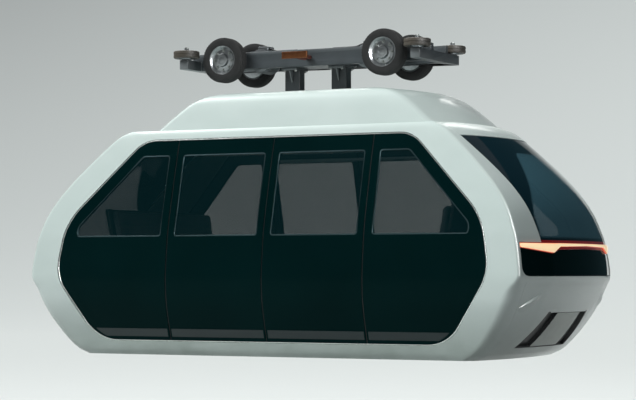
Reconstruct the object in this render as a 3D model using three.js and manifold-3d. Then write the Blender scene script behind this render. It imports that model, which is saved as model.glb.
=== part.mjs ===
// Suspended personal rapid transit pod: a glazed cabin that hangs from a rubber-tyred bogie, which
// runs inside a slotted box beam. Millimetres. +X is the direction of travel, +Y is left, +Z is up.
// The origin is the middle of the four running wheels' contact patches, at the level of the rail.
import * as THREE from "three";
import { mergeVertices } from "three/addons/utils/BufferGeometryUtils.js";
import Module from "manifold-3d";

const wasm = await Module();
wasm.setup();

// Driving dimensions
const UNDERSIDE = -2270; // the cabin's underside, below the rail
const SEAM = 0.5; // gap between neighbouring panels
const BODY_CORNER = 90; // plan radius between a side and an end
const CORNER_STEPS = 3;
const CREASE_AT = 0.6; // where each half of an end has its upright crease, as a share of its half width
const CREASE_BULGE = 0.7; // share of the bulge that is left there
const END_SHARES = [0, 0.3, CREASE_AT, 0.78]; // points across half an end, as shares of its half width
const FAR = 4000; // reach of a cutting prism

// Wall thicknesses, measured level from the outer surface inwards
const SIDE_SKIN = 55;
const END_SKIN = 60;
const FLOOR_TOP = 90;
const ROOF_UNDER = 1800;
const ROOF_TOP = 1850;

// Cabin surface by level. Columns: height over the underside, half length at the side, bulge of the
// end at the middle, half width, strength of the crease (0 is a plain arc)
const BODY = [
  [0, 1760, 95, 835, 0],
  [45, 1850, 105, 858, 0.3],
  [150, 1955, 120, 888, 0.6],
  [300, 2065, 135, 930, 1],
  [440, 2140, 150, 962, 1],
  [560, 2190, 160, 973, 1],
  [645, 2220, 170, 975, 1],
  [905, 2187, 180, 950, 1],
  [1000, 2160, 180, 938, 0.5],
  [1150, 2100, 180, 908, 0],
  [1300, 2005, 180, 872, 0],
  [1450, 1875, 180, 836, 0],
  [1640, 1680, 180, 787, 0],
  [1775, 1530, 175, 750, 0],
  [1825, 1455, 170, 733, 0],
  [1850, 1390, 165, 715, 0],
];

// Roof fairing by level, same columns. It sits a little to the rear
const FAIRING_SHIFT = -115;
const FAIRING = [
  [1850, 1245, 165, 712, 0],
  [1950, 1125, 170, 686, 0],
  [2040, 1010, 170, 660, 0],
  [2090, 930, 165, 638, 0],
  [2130, 830, 150, 600, 0],
  [2150, 710, 130, 550, 0],
];
const HANGER_CLEARANCE = 12; // between the fairing and the hanger that comes through it
const FAIRING_TOP = FAIRING.at(-1)[0];

// Side glazing. Corners of the outlines: x, height, corner radius
const OVAL_TOP = 1775;
const OVAL_BOTTOM = 110;
const OVAL = [
  [-1600, OVAL_BOTTOM, 350],
  [1600, OVAL_BOTTOM, 350],
  [1975, 660, 350],
  [1900, 1100, 550],
  [1235, OVAL_TOP, 280],
  [-1235, OVAL_TOP, 280],
  [-1900, 1100, 550],
  [-1975, 660, 350],
];
const SILL = 970;
const WINDOW_TOP = 1640;
const WINDOW_CORNER = 25;
const FIXED_EDGE = 900; // where a fixed side panel ends, over the door leaf's stile
const FIXED_WINDOW = [
  [965, SILL, WINDOW_CORNER],
  [1780, SILL, WINDOW_CORNER],
  [1800, 1045, 100],
  [1225, WINDOW_TOP, 60],
  [965, WINDOW_TOP, WINDOW_CORNER],
];
const LEAF_START = 4;
const LEAF_END = 893;
const LEAF_BOTTOM = 117;
const LEAF_TOP = 1767;
const LEAF_WINDOW = [
  [60, SILL, WINDOW_CORNER],
  [838, SILL, WINDOW_CORNER],
  [838, WINDOW_TOP, WINDOW_CORNER],
  [60, WINDOW_TOP, WINDOW_CORNER],
];
// Depths under the outer surface: outer face, inner face
const PANEL_DEPTH = [8, 50];
const GLASS_DEPTH = [9, 17];
// The rail that a door leaf hangs on, in a groove along the leaf's top edge
const DOOR_RAIL = { halfWidth: 5, bottom: 1755, halfLength: 890, depth: 29 };

// End fittings. Heights of the joints between the bumper, lamp panel, light bar, screen and roof
const BUMPER_TOP = 648;
const LAMP_TOP = 905;
const SCREEN_TOP = 1740;
const SCREEN_HALF = 680;
const LAMP_MARGIN = 32; // body left beside the light bar and the lamp panel
const LAMP_RETURN = 2000; // how near the middle the light bar and the lamp panel may reach
const BUMPER_MARGIN = 100;
const LAMP_PANEL_DEPTH = [4, 55];
const LAMP_PANEL_CORNER = 75;
const SCREEN_DEPTH = [4, 16];
const LAMP_DEPTH = [-30, 50];
// Lower edge of the light bar's outer half: distance from the middle, height
const LAMP_EDGE = [
  [0, 880],
  [470, 872],
  [570, 823],
  [940, 868],
];
const RECESS = { bottom: 95, top: 365, halfBottom: 500, halfTop: 385, depth: 40 };
const INSERT = { half: 255, face: 6 };

// Cabin fittings
const BENCH_HALF_WIDTH = 780;
const SEAT_TOP = 500;
const SEAT_PAD = 100;
const SEAT_FRONT = 850;
const SEAT_REAR = 1345;
const BACK_TOP = 1190;
const BACK_RAKE = 0.2; // forward or back shift per unit of height
const BACK_PAD = 95;
const SHELL = 28;
const PLINTH_FRONT = 930;

// Bogie, measured from the rail upwards
const WHEELBASE = 1500;
const WHEEL_RADIUS = 190;
const RIM_RADIUS = 122;
const TYRE_WIDTH = 110;
const TYRE_MIDDLE = 262;
const TYRE_SHOULDER = 16;
const AXLE_RADIUS = 32;
const BEARING_GAP = 1;
const BEAM_IN = 115;
const BEAM_OUT = 165;
const BEAM_BOTTOM = 120;
const BEAM_TOP = 260;
const CROSSBEAM_OUT = 1120;
const CROSSBEAM_IN = 1040;
const CROSSBEAM_TOP = 200;
const CROSSBEAM_HALF = 385;
const BOLSTER_HALF = 300;
const GUIDE = { x: 1080, y: 340, radius: 110, bottom: 214, top: 276, pin: 18, pinTop: 300, shoulder: 8 };
const MOTOR = { x: 500, radius: 98, halfLength: 104, bossRadius: 60, gearHalf: 40, gearRadius: 72 };
const HANGER = { x: 220, halfLength: 70, halfWidth: 45, flangeHalf: 105, flange: 22, footHalf: 130 };
const COLLECTOR = { reach: 400, shoe: 20, shoeHalf: 120, armHalf: 30, bottom: 160, top: 220 };

const material = (color, roughness, metalness, opacity = 1) =>
  new THREE.MeshStandardMaterial({ color, roughness, metalness, opacity, transparent: opacity < 1 });
const MATERIALS = {
  pearlPaint: material(0xd3dcd9, 0.25, 0.1),
  underbody: material(0x8f9693, 0.55, 0.1),
  darkPanel: material(0x10191b, 0.12, 0.0),
  tintedGlass: material(0x23363a, 0.05, 0.0, 0.4),
  redLamp: material(0xff5a2c, 0.2, 0.0),
  whiteLamp: material(0xf4f7ff, 0.2, 0.0),
  seatFabric: material(0x59646a, 0.9, 0.0),
  seatShell: material(0x2b2f32, 0.5, 0.0),
  frameSteel: material(0x4d5357, 0.5, 0.4),
  tyre: material(0x17181a, 0.85, 0.0),
  motorCasting: material(0x6d7376, 0.45, 0.7),
  hangerSteel: material(0x3c4144, 0.45, 0.5),
  collectorShoe: material(0x8a5a34, 0.45, 0.6),
};

// Solids
function solidOf(geometry) {
  const bare = geometry.index ? geometry.toNonIndexed() : geometry.clone();
  for (const name of Object.keys(bare.attributes)) {
    if (name !== "position") bare.deleteAttribute(name);
  }
  const merged = mergeVertices(bare, 1e-3);
  const vertProperties = merged.attributes.position.array;
  const triVerts = new Uint32Array(merged.index.array);
  return new wasm.Manifold(new wasm.Mesh({ numProp: 3, vertProperties, triVerts }));
}

const root = new THREE.Group();
const cabin = new THREE.Group();
cabin.position.z = UNDERSIDE;
root.add(cabin);

function addPiece(parent, name, solid, pieceMaterial) {
  const { numProp, vertProperties, triVerts } = solid.getMesh();
  const positions = new Float32Array((vertProperties.length / numProp) * 3);
  for (let i = 0; i < positions.length / 3; i++) {
    positions.set(vertProperties.subarray(i * numProp, i * numProp + 3), i * 3);
  }
  const geometry = new THREE.BufferGeometry();
  geometry.setAttribute("position", new THREE.BufferAttribute(positions, 3));
  geometry.setIndex(new THREE.BufferAttribute(new Uint32Array(triVerts), 1));
  geometry.computeVertexNormals();
  const piece = new THREE.Mesh(geometry, pieceMaterial);
  piece.name = name;
  parent.add(piece);
}

function box(x0, x1, y0, y1, z0, z1) {
  const geometry = new THREE.BoxGeometry(x1 - x0, y1 - y0, z1 - z0);
  return solidOf(geometry.translate((x0 + x1) / 2, (y0 + y1) / 2, (z0 + z1) / 2));
}

// A cylinder whose axis runs along "y" or "z", centred on x and on the other level
function cylinder(axis, radius, start, end, x, level, segments = 16) {
  const geometry = new THREE.CylinderGeometry(radius, radius, end - start, segments);
  if (axis === "z") geometry.rotateX(Math.PI / 2).translate(x, level, (start + end) / 2);
  else geometry.translate(x, (start + end) / 2, level);
  return solidOf(geometry);
}

// A profile of [radius, height] pairs turned about its axis, which is then laid along "y" or "z"
function turned(axis, profile, segments) {
  const closed = [...profile, profile[0]].map(([radius, height]) => new THREE.Vector2(radius, height));
  const geometry = new THREE.LatheGeometry(closed, segments);
  if (axis === "z") geometry.rotateX(Math.PI / 2);
  const solid = solidOf(geometry);
  return solid.volume() > 0 ? solid : solidOf(geometry.scale(-1, 1, 1));
}

// The directions from an outline's corner to the ones before and after it, and between them
function cornerFrame(corners, i) {
  const here = new THREE.Vector2(...corners[i].slice(0, 2));
  const back = new THREE.Vector2(...corners.at(i - 1).slice(0, 2)).sub(here).normalize();
  const next = corners[(i + 1) % corners.length];
  const on = new THREE.Vector2(...next.slice(0, 2)).sub(here).normalize();
  const half = back.angleTo(on) / 2;
  const middle = back.clone().add(on).normalize();
  return { here, back, on, half, middle };
}

// A convex outline with its edges moved in by the seam
const drawnIn = (corners) =>
  corners.map(([, , radius], i) => {
    const { here, half, middle } = cornerFrame(corners, i);
    const { x, y } = here.addScaledVector(middle, SEAM / Math.sin(half));
    return [x, y, radius - SEAM];
  });

// A closed outline of [u, v, corner radius] corners, with its corners as arcs
function roundedShape(corners) {
  const shape = new THREE.Shape();
  corners.forEach(([u, v, radius], i) => {
    if (!radius) {
      if (i === 0) shape.moveTo(u, v);
      else shape.lineTo(u, v);
      return;
    }
    const { here, back, on, half, middle } = cornerFrame(corners, i);
    const centre = here.clone().addScaledVector(middle, radius / Math.sin(half));
    const start = here.clone().addScaledVector(back, radius / Math.tan(half)).sub(centre);
    const end = here.clone().addScaledVector(on, radius / Math.tan(half)).sub(centre);
    const clockwise = back.cross(on) > 0;
    const from = Math.atan2(start.y, start.x);
    const to = Math.atan2(end.y, end.x);
    if (i === 0) shape.moveTo(centre.x + start.x, centre.y + start.y);
    else shape.lineTo(centre.x + start.x, centre.y + start.y);
    shape.absarc(centre.x, centre.y, radius, from, to, clockwise);
  });
  return shape;
}

const ACROSS = new THREE.Matrix4().makeBasis(
  new THREE.Vector3(1, 0, 0),
  new THREE.Vector3(0, 0, 1),
  new THREE.Vector3(0, -1, 0),
);
const ALONG = new THREE.Matrix4().makeBasis(
  new THREE.Vector3(0, 1, 0),
  new THREE.Vector3(0, 0, 1),
  new THREE.Vector3(1, 0, 0),
);

// An outline in x and z, cut through the whole width or between y0 and y1
function prismAcross(corners, y0 = -FAR, y1 = FAR) {
  const settings = { depth: y1 - y0, bevelEnabled: false, curveSegments: 5 };
  const geometry = new THREE.ExtrudeGeometry(roundedShape(corners), settings);
  return solidOf(geometry.applyMatrix4(ACROSS).translate(0, y1, 0));
}

// An outline in y and z, run from x0 to x1
function prismAlong(corners, x0, x1) {
  const settings = { depth: x1 - x0, bevelEnabled: false, curveSegments: 5 };
  const geometry = new THREE.ExtrudeGeometry(roundedShape(corners), settings);
  return solidOf(geometry.applyMatrix4(ALONG).translate(x0, 0, 0));
}

// How much of an end's bulge is left at a share of its half width
function bulgeLeft(share, crease) {
  const arc = 1 - share ** 2;
  const inner = 1 - (1 - CREASE_BULGE) * (share / CREASE_AT) ** 2;
  const outer = (CREASE_BULGE * (1 - share)) / (1 - CREASE_AT);
  return arc + crease * ((share < CREASE_AT ? inner : outer) - arc);
}

// One level of the cabin or fairing, seen from above: straight sides, bulged ends, rounded corners
function planRing([level, halfLength, bulge, halfWidth, crease], sideInset, endInset) {
  const width = halfWidth - sideInset;
  const endX = (y) => halfLength - endInset + bulge * bulgeLeft(y / width, crease);
  const quarter = END_SHARES.map((share) => [endX(share * width), share * width]);
  for (let i = 0; i <= CORNER_STEPS; i++) {
    const turn = (i / CORNER_STEPS) * (Math.PI / 2);
    const y = width - BODY_CORNER * (1 - Math.sin(turn));
    quarter.push([endX(y) - BODY_CORNER * (1 - Math.cos(turn)), y]);
  }
  const backwards = quarter.slice().reverse();
  return [
    ...quarter,
    ...backwards.map(([x, y]) => [-x, y]),
    ...quarter.slice(1).map(([x, y]) => [-x, -y]),
    ...backwards.slice(0, -1).map(([x, y]) => [x, -y]),
  ].map(([x, y]) => [x, y, level]);
}

// A solid through a table's levels. The inset may be negative; extra lengthens it up and down
function loft(table, sideInset, endInset, extra = 0) {
  const rings = table.map((row) => planRing(row, sideInset, endInset));
  rings[0].forEach((point) => (point[2] -= extra));
  rings.at(-1).forEach((point) => (point[2] += extra));
  const count = rings[0].length;
  const indices = [];
  rings.slice(1).forEach((ring, level) => {
    for (let i = 0; i < count; i++) {
      const next = (i + 1) % count;
      const [a, b] = [level * count + i, level * count + next];
      // The diagonals mirror about both middle planes
      const rising = (ring[i][0] + ring[next][0]) * (ring[i][1] + ring[next][1]) > 0;
      if (rising) indices.push(a, b, a + count, b, b + count, a + count);
      else indices.push(a, b, b + count, a, b + count, a + count);
    }
  });
  const top = (rings.length - 1) * count;
  for (let i = 1; i < count - 1; i++) {
    indices.push(0, i + 1, i, top, top + i, top + i + 1);
  }
  const geometry = new THREE.BufferGeometry();
  geometry.setAttribute("position", new THREE.Float32BufferAttribute(rings.flat(2), 3));
  geometry.setIndex(indices);
  return solidOf(geometry);
}

// Half width of the cabin's outer surface at a height
function halfWidthAt(height) {
  const above = BODY.findIndex(([level]) => level >= height);
  if (above <= 0) return BODY.at(above)[3];
  const [z0, , , w0] = BODY[above - 1];
  const [z1, , , w1] = BODY[above];
  return w0 + ((w1 - w0) * (height - z0)) / (z1 - z0);
}

// Heights where the side bends, between two limits and with the limits themselves
const bendsBetween = (low, high) => [
  low,
  ...BODY.map(([level]) => level).filter((level) => level > low + 1 && level < high - 1),
  high,
];

// A skin that follows the left side between two depths and two heights, from x0 to x1
function sideSkin([outer, inner], low, high, x0, x1) {
  const levels = bendsBetween(low, high);
  const outside = levels.map((level) => [halfWidthAt(level) - outer, level]);
  const inside = levels.map((level) => [halfWidthAt(level) - inner, level]).reverse();
  return prismAlong([...outside, ...inside], x0, x1);
}

// The middle of the cabin between two heights, up to a margin from the outer surface on each side
function withinSides(low, high, margin) {
  const left = bendsBetween(low, high).map((level) => [halfWidthAt(level) - margin, level]);
  const right = left.map(([y, level]) => [-y, level]).reverse();
  return prismAlong([...left, ...right], -FAR, FAR);
}

const mirrored = (solid, flipX, flipY) => {
  let result = solid;
  if (flipX) result = result.mirror([1, 0, 0]);
  if (flipY) result = result.mirror([0, 1, 0]);
  return result;
};
const ends = [
  ["front", false],
  ["rear", true],
];
const sides = [
  ["left", false],
  ["right", true],
];

// Cabin shell
const outer = loft(BODY, 0, 0);
const sleeve = outer.subtract(loft(BODY, SIDE_SKIN, END_SKIN, 1));
const within = loft(BODY, SIDE_SKIN + SEAM, END_SKIN + SEAM, 1);
const aheadOf = (x) => box(x, FAR, -FAR, FAR, -FAR, FAR);
const band = (halfWidth, low, high) => box(-FAR, FAR, -halfWidth, halfWidth, low, high);
const railY = halfWidthAt(DOOR_RAIL.bottom) - DOOR_RAIL.depth;

function makeShell() {
  const { halfLength, halfWidth, bottom } = DOOR_RAIL;
  const rail = box(
    -halfLength,
    halfLength,
    railY - halfWidth,
    railY + halfWidth,
    bottom,
    OVAL_TOP + 1,
  );
  const besideLamps = box(-LAMP_RETURN, LAMP_RETURN, -FAR, FAR, -FAR, FAR);
  const taken = band(SCREEN_HALF, LAMP_TOP, ROOF_TOP + 1)
    .add(withinSides(BUMPER_TOP, LAMP_TOP, LAMP_MARGIN).subtract(besideLamps))
    .add(withinSides(-1, BUMPER_TOP, BUMPER_MARGIN));
  const frame = sleeve
    .subtract(prismAcross(OVAL))
    .subtract(taken)
    .trimByPlane([0, 1, 0], 0)
    .add(rail);
  for (const [side, flip] of sides) {
    addPiece(cabin, `side_frame_${side}`, mirrored(frame, false, flip), MATERIALS.pearlPaint);
  }
  const floor = outer.intersect(within).intersect(band(FAR, 0, FLOOR_TOP));
  addPiece(cabin, "floor_pan", floor, MATERIALS.underbody);
  const slab = outer.intersect(band(SCREEN_HALF - SEAM, ROOF_UNDER, ROOF_TOP));
  const headers = sleeve.intersect(band(SCREEN_HALF - SEAM, SCREEN_TOP, ROOF_UNDER));
  addPiece(cabin, "roof_panel", slab.add(headers), MATERIALS.pearlPaint);
}

function makeFairing() {
  const { x, halfLength, halfWidth, flange, footHalf } = HANGER;
  const footX = x + footHalf + HANGER_CLEARANCE;
  const footY = footHalf + HANGER_CLEARANCE;
  const footTop = ROOF_TOP + flange + HANGER_CLEARANCE;
  let fairing = loft(FAIRING, 0, 0).translate([FAIRING_SHIFT, 0, 0]);
  fairing = fairing.subtract(box(-footX, footX, -footY, footY, ROOF_TOP - 1, footTop));
  for (const postX of [-x, x]) {
    const reachX = halfLength + HANGER_CLEARANCE;
    const reachY = halfWidth + HANGER_CLEARANCE;
    const slot = box(postX - reachX, postX + reachX, -reachY, reachY, ROOF_TOP - 1, FAIRING_TOP + 1);
    fairing = fairing.subtract(slot);
  }
  addPiece(cabin, "roof_fairing", fairing, MATERIALS.pearlPaint);
}

// The front end's layer between two depths, measured along the cabin
const endLayer = ([shallow, deep]) =>
  loft(BODY, 0, shallow, 1).subtract(loft(BODY, -1, deep, 2)).intersect(aheadOf(1000));

const mirroredOutline = (half) => [
  ...half,
  ...half
    .slice()
    .reverse()
    .map(([y, ...rest]) => [-y, ...rest]),
];

function makeEnds() {
  const { bottom, top, halfBottom, halfTop, depth } = RECESS;
  const mouth = mirroredOutline([
    [halfBottom, bottom],
    [halfTop, top],
  ]);
  const recess = prismAlong(mouth, 0, FAR).subtract(loft(BODY, 0, depth, 1));
  const bumper = sleeve
    .intersect(withinSides(0, BUMPER_TOP - SEAM, BUMPER_MARGIN + SEAM))
    .intersect(aheadOf(1000))
    .subtract(recess);
  const insertOutline = mirroredOutline([
    [INSERT.half, bottom + SEAM],
    [INSERT.half, top - SEAM],
  ]);
  const insert = prismAlong(insertOutline, 0, FAR)
    .intersect(loft(BODY, 0, INSERT.face, 1))
    .subtract(loft(BODY, 0, depth - SEAM, 2));

  const lampZone = withinSides(BUMPER_TOP, LAMP_TOP - SEAM, LAMP_MARGIN + SEAM);
  const [bottomMiddle, ...bottomHalf] = LAMP_EDGE;
  const lampHalf = [...bottomHalf, [bottomHalf.at(-1)[0], LAMP_TOP + 1]];
  const lampOutline = [bottomMiddle, ...mirroredOutline(lampHalf)];
  const lampPrism = prismAlong(lampOutline, 0, FAR);
  const lamp = endLayer(LAMP_DEPTH).intersect(lampZone).intersect(lampPrism);
  const panelOutline = mirroredOutline([
    [halfWidthAt(BUMPER_TOP) - LAMP_MARGIN - SEAM, BUMPER_TOP, LAMP_PANEL_CORNER],
    [halfWidthAt(LAMP_TOP) - LAMP_MARGIN - SEAM, LAMP_TOP - SEAM],
  ]);
  const panel = endLayer(LAMP_PANEL_DEPTH)
    .intersect(prismAlong(panelOutline, 0, FAR))
    .subtract(lampPrism.translate([0, 0, -SEAM]))
    .subtract(lampPrism);
  const screen = endLayer(SCREEN_DEPTH).intersect(
    band(SCREEN_HALF - SEAM, LAMP_TOP, SCREEN_TOP - SEAM),
  );
  for (const [end, flip] of ends) {
    const lampMaterial = end === "front" ? MATERIALS.whiteLamp : MATERIALS.redLamp;
    const pieces = [
      ["bumper", bumper, MATERIALS.pearlPaint],
      ["bumper_insert", insert, MATERIALS.underbody],
      ["lamp_panel", panel, MATERIALS.darkPanel],
      ["light_bar", lamp, lampMaterial],
      ["screen", screen, MATERIALS.tintedGlass],
    ];
    for (const [name, solid, pieceMaterial] of pieces) {
      addPiece(cabin, `${name}_${end}`, mirrored(solid, flip, false), pieceMaterial);
    }
  }
}

function makeSides() {
  const reach = OVAL[2][0] + 10;
  const wide = [OVAL_BOTTOM - 20, OVAL_TOP + 20, FIXED_EDGE, reach];
  const fixed = sideSkin(PANEL_DEPTH, ...wide)
    .intersect(prismAcross(drawnIn(OVAL)))
    .subtract(prismAcross(FIXED_WINDOW));
  const fixedGlass = sideSkin(GLASS_DEPTH, ...wide).intersect(prismAcross(drawnIn(FIXED_WINDOW)));
  const grooveHalf = DOOR_RAIL.halfWidth + SEAM;
  const groove = box(
    -FAR,
    FAR,
    railY - grooveHalf,
    railY + grooveHalf,
    DOOR_RAIL.bottom - 3,
    LEAF_TOP + 1,
  );
  const span = [LEAF_BOTTOM, LEAF_TOP, LEAF_START, LEAF_END];
  const leaf = sideSkin(PANEL_DEPTH, ...span)
    .subtract(prismAcross(LEAF_WINDOW))
    .subtract(groove);
  const leafGlass = sideSkin(GLASS_DEPTH, ...span).intersect(prismAcross(drawnIn(LEAF_WINDOW)));
  for (const [side, flipY] of sides) {
    for (const [end, flipX] of ends) {
      const place = (solid) => mirrored(solid, flipX, flipY);
      const key = `${side}_${end}`;
      addPiece(cabin, `side_panel_${key}`, place(fixed), MATERIALS.darkPanel);
      addPiece(cabin, `side_glass_${key}`, place(fixedGlass), MATERIALS.tintedGlass);
      addPiece(cabin, `door_leaf_${key}`, place(leaf), MATERIALS.darkPanel);
      addPiece(cabin, `door_glass_${key}`, place(leafGlass), MATERIALS.tintedGlass);
    }
  }
}

// Two benches that face each other
function makeSeats() {
  const half = BENCH_HALF_WIDTH;
  const backAt = (height) => SEAT_REAR + BACK_RAKE * (height - SEAT_TOP);
  const padFoot = SEAT_TOP - SEAT_PAD;
  const cushion = prismAcross(
    [
      [SEAT_FRONT, padFoot, 20],
      [backAt(padFoot) + BACK_PAD, padFoot, 0],
      [backAt(BACK_TOP) + BACK_PAD, BACK_TOP, 30],
      [backAt(BACK_TOP) + 20, BACK_TOP, 30],
      [backAt(SEAT_TOP), SEAT_TOP, 20],
      [SEAT_FRONT, SEAT_TOP, 40],
    ],
    -half,
    half,
  );
  const shellX = (height) => backAt(height) + BACK_PAD + SEAM;
  const shellTop = BACK_TOP + 15;
  const shell = prismAcross(
    [
      [PLINTH_FRONT, FLOOR_TOP, 0],
      [shellX(FLOOR_TOP) + SHELL, FLOOR_TOP, 0],
      [shellX(shellTop) + SHELL, shellTop, 0],
      [shellX(shellTop), shellTop, 0],
      [shellX(padFoot - SEAM), padFoot - SEAM, 0],
      [PLINTH_FRONT - 60, padFoot - SEAM, 0],
    ],
    -half,
    half,
  );
  for (const [end, flip] of ends) {
    addPiece(cabin, `seat_cushion_${end}`, mirrored(cushion, flip, false), MATERIALS.seatFabric);
    addPiece(cabin, `seat_shell_${end}`, mirrored(shell, flip, false), MATERIALS.seatShell);
  }
}

// Bogie
const axleX = WHEELBASE / 2;

function makeFrame() {
  const beam = box(-CROSSBEAM_OUT, CROSSBEAM_OUT, BEAM_IN, BEAM_OUT, BEAM_BOTTOM, BEAM_TOP);
  let frame = beam.add(mirrored(beam, false, true));
  frame = frame.add(box(-BOLSTER_HALF, BOLSTER_HALF, -BEAM_IN, BEAM_IN, BEAM_BOTTOM, BEAM_TOP));
  for (const [, flip] of ends) {
    let end = box(
      CROSSBEAM_IN,
      CROSSBEAM_OUT,
      -CROSSBEAM_HALF,
      CROSSBEAM_HALF,
      BEAM_BOTTOM,
      CROSSBEAM_TOP,
    );
    for (const y of [-GUIDE.y, GUIDE.y]) {
      end = end.add(cylinder("z", GUIDE.pin, CROSSBEAM_TOP - 10, GUIDE.pinTop, GUIDE.x, y));
    }
    frame = frame.add(mirrored(end, flip, false));
  }
  for (const x of [-axleX, axleX]) {
    const bore = cylinder("y", AXLE_RADIUS + BEARING_GAP, -FAR, FAR, x, WHEEL_RADIUS);
    frame = frame.subtract(bore);
  }
  addPiece(root, "bogie_frame", frame, MATERIALS.frameSteel);
}

function makeWheels() {
  const half = TYRE_WIDTH / 2;
  const tread = WHEEL_RADIUS;
  const tyre = turned(
    "y",
    [
      [RIM_RADIUS + SEAM, -half + 6],
      [tread - TYRE_SHOULDER, -half],
      [tread, -half + TYRE_SHOULDER],
      [tread, half - TYRE_SHOULDER],
      [tread - TYRE_SHOULDER, half],
      [RIM_RADIUS + SEAM, half - 6],
    ],
    28,
  );
  const hub = cylinder("y", RIM_RADIUS, TYRE_MIDDLE - half + 6, TYRE_MIDDLE + half - 6, 0, 0, 28);
  const dish = cylinder("y", RIM_RADIUS - 26, TYRE_MIDDLE + half - 30, FAR, 0, 0, 28);
  const axle = cylinder("y", AXLE_RADIUS, -TYRE_MIDDLE - 20, TYRE_MIDDLE + 20, 0, 0);
  const nave = cylinder("y", 52, TYRE_MIDDLE, TYRE_MIDDLE + half + 4, 0, 0, 16);
  const wheel = hub.subtract(dish).add(nave);
  const wheelset = axle.add(wheel).add(mirrored(wheel, false, true));
  for (const [end, flip] of ends) {
    const x = flip ? -axleX : axleX;
    const group = new THREE.Group();
    group.position.set(x, 0, WHEEL_RADIUS);
    root.add(group);
    addPiece(group, `wheelset_${end}`, wheelset, MATERIALS.motorCasting);
    for (const [side, flipY] of sides) {
      const y = flipY ? -TYRE_MIDDLE : TYRE_MIDDLE;
      addPiece(group, `tyre_${end}_${side}`, tyre.translate([0, y, 0]), MATERIALS.tyre);
    }
  }
}

function makeGuideWheels() {
  const { x, y, radius, bottom, top, pin, shoulder } = GUIDE;
  const hubRadius = 46;
  const wheel = turned(
    "z",
    [
      [pin + BEARING_GAP, bottom - 10],
      [hubRadius, bottom - 10],
      [hubRadius, bottom],
      [radius - shoulder, bottom],
      [radius, bottom + shoulder],
      [radius, top - shoulder],
      [radius - shoulder, top],
      [hubRadius, top],
      [hubRadius, top + 6],
      [pin + BEARING_GAP, top + 6],
    ],
    20,
  );
  for (const [end, flipX] of ends) {
    for (const [side, flipY] of sides) {
      const group = new THREE.Group();
      group.position.set(flipX ? -x : x, flipY ? -y : y, 0);
      root.add(group);
      addPiece(group, `guide_wheel_${end}_${side}`, wheel, MATERIALS.tyre);
    }
  }
}

function makeDrives() {
  const { x, radius, halfLength, bossRadius, gearHalf, gearRadius } = MOTOR;
  const level = WHEEL_RADIUS;
  const reach = BEAM_IN - SEAM;
  const motor = cylinder("y", radius, -halfLength, halfLength, x, level, 20);
  const boss = cylinder("y", bossRadius, -reach, reach, x, level);
  const gearEnd = cylinder("y", gearRadius, -gearHalf, gearHalf, axleX, level);
  const gearBox = box(x, axleX, -gearHalf, gearHalf, level - gearRadius, level + gearRadius);
  const bore = cylinder("y", AXLE_RADIUS + BEARING_GAP, -FAR, FAR, axleX, level);
  const drive = motor.add(boss).add(gearEnd).add(gearBox).subtract(bore);
  for (const [end, flip] of ends) {
    addPiece(root, `drive_unit_${end}`, mirrored(drive, flip, false), MATERIALS.motorCasting);
  }
}

// Two hanger posts that carry the cabin through the beam's slot, on one foot plate
function makeHanger() {
  const roof = UNDERSIDE + ROOF_TOP;
  const { x, halfLength, halfWidth, flange, flangeHalf, footHalf } = HANGER;
  let hanger = box(-x - footHalf, x + footHalf, -footHalf, footHalf, roof, roof + flange);
  for (const [, flip] of ends) {
    const post = box(x - halfLength, x + halfLength, -halfWidth, halfWidth, roof, BEAM_BOTTOM);
    const head = box(
      x - halfLength,
      x + halfLength,
      -flangeHalf,
      flangeHalf,
      BEAM_BOTTOM - flange,
      BEAM_BOTTOM,
    );
    hanger = hanger.add(mirrored(post.add(head), flip, false));
  }
  addPiece(root, "hanger", hanger, MATERIALS.hangerSteel);
}

function makeCollectors() {
  const { reach, shoe, shoeHalf, armHalf, bottom, top } = COLLECTOR;
  const arm = box(-armHalf, armHalf, BEAM_OUT, reach + 1, bottom + 15, top - 15);
  const collector = arm.add(box(-shoeHalf, shoeHalf, reach, reach + shoe, bottom, top));
  for (const [side, flip] of sides) {
    addPiece(root, `collector_${side}`, mirrored(collector, false, flip), MATERIALS.collectorShoe);
  }
}

makeShell();
makeFairing();
makeEnds();
makeSides();
makeSeats();
makeFrame();
makeWheels();
makeGuideWheels();
makeDrives();
makeHanger();
makeCollectors();

export default root;
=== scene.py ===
"""Looks of a suspended personal rapid transit pod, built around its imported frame. Metres."""
import math

import bmesh
import bpy
from mathutils import Matrix, Vector
from mathutils.bvhtree import BVHTree


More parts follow.
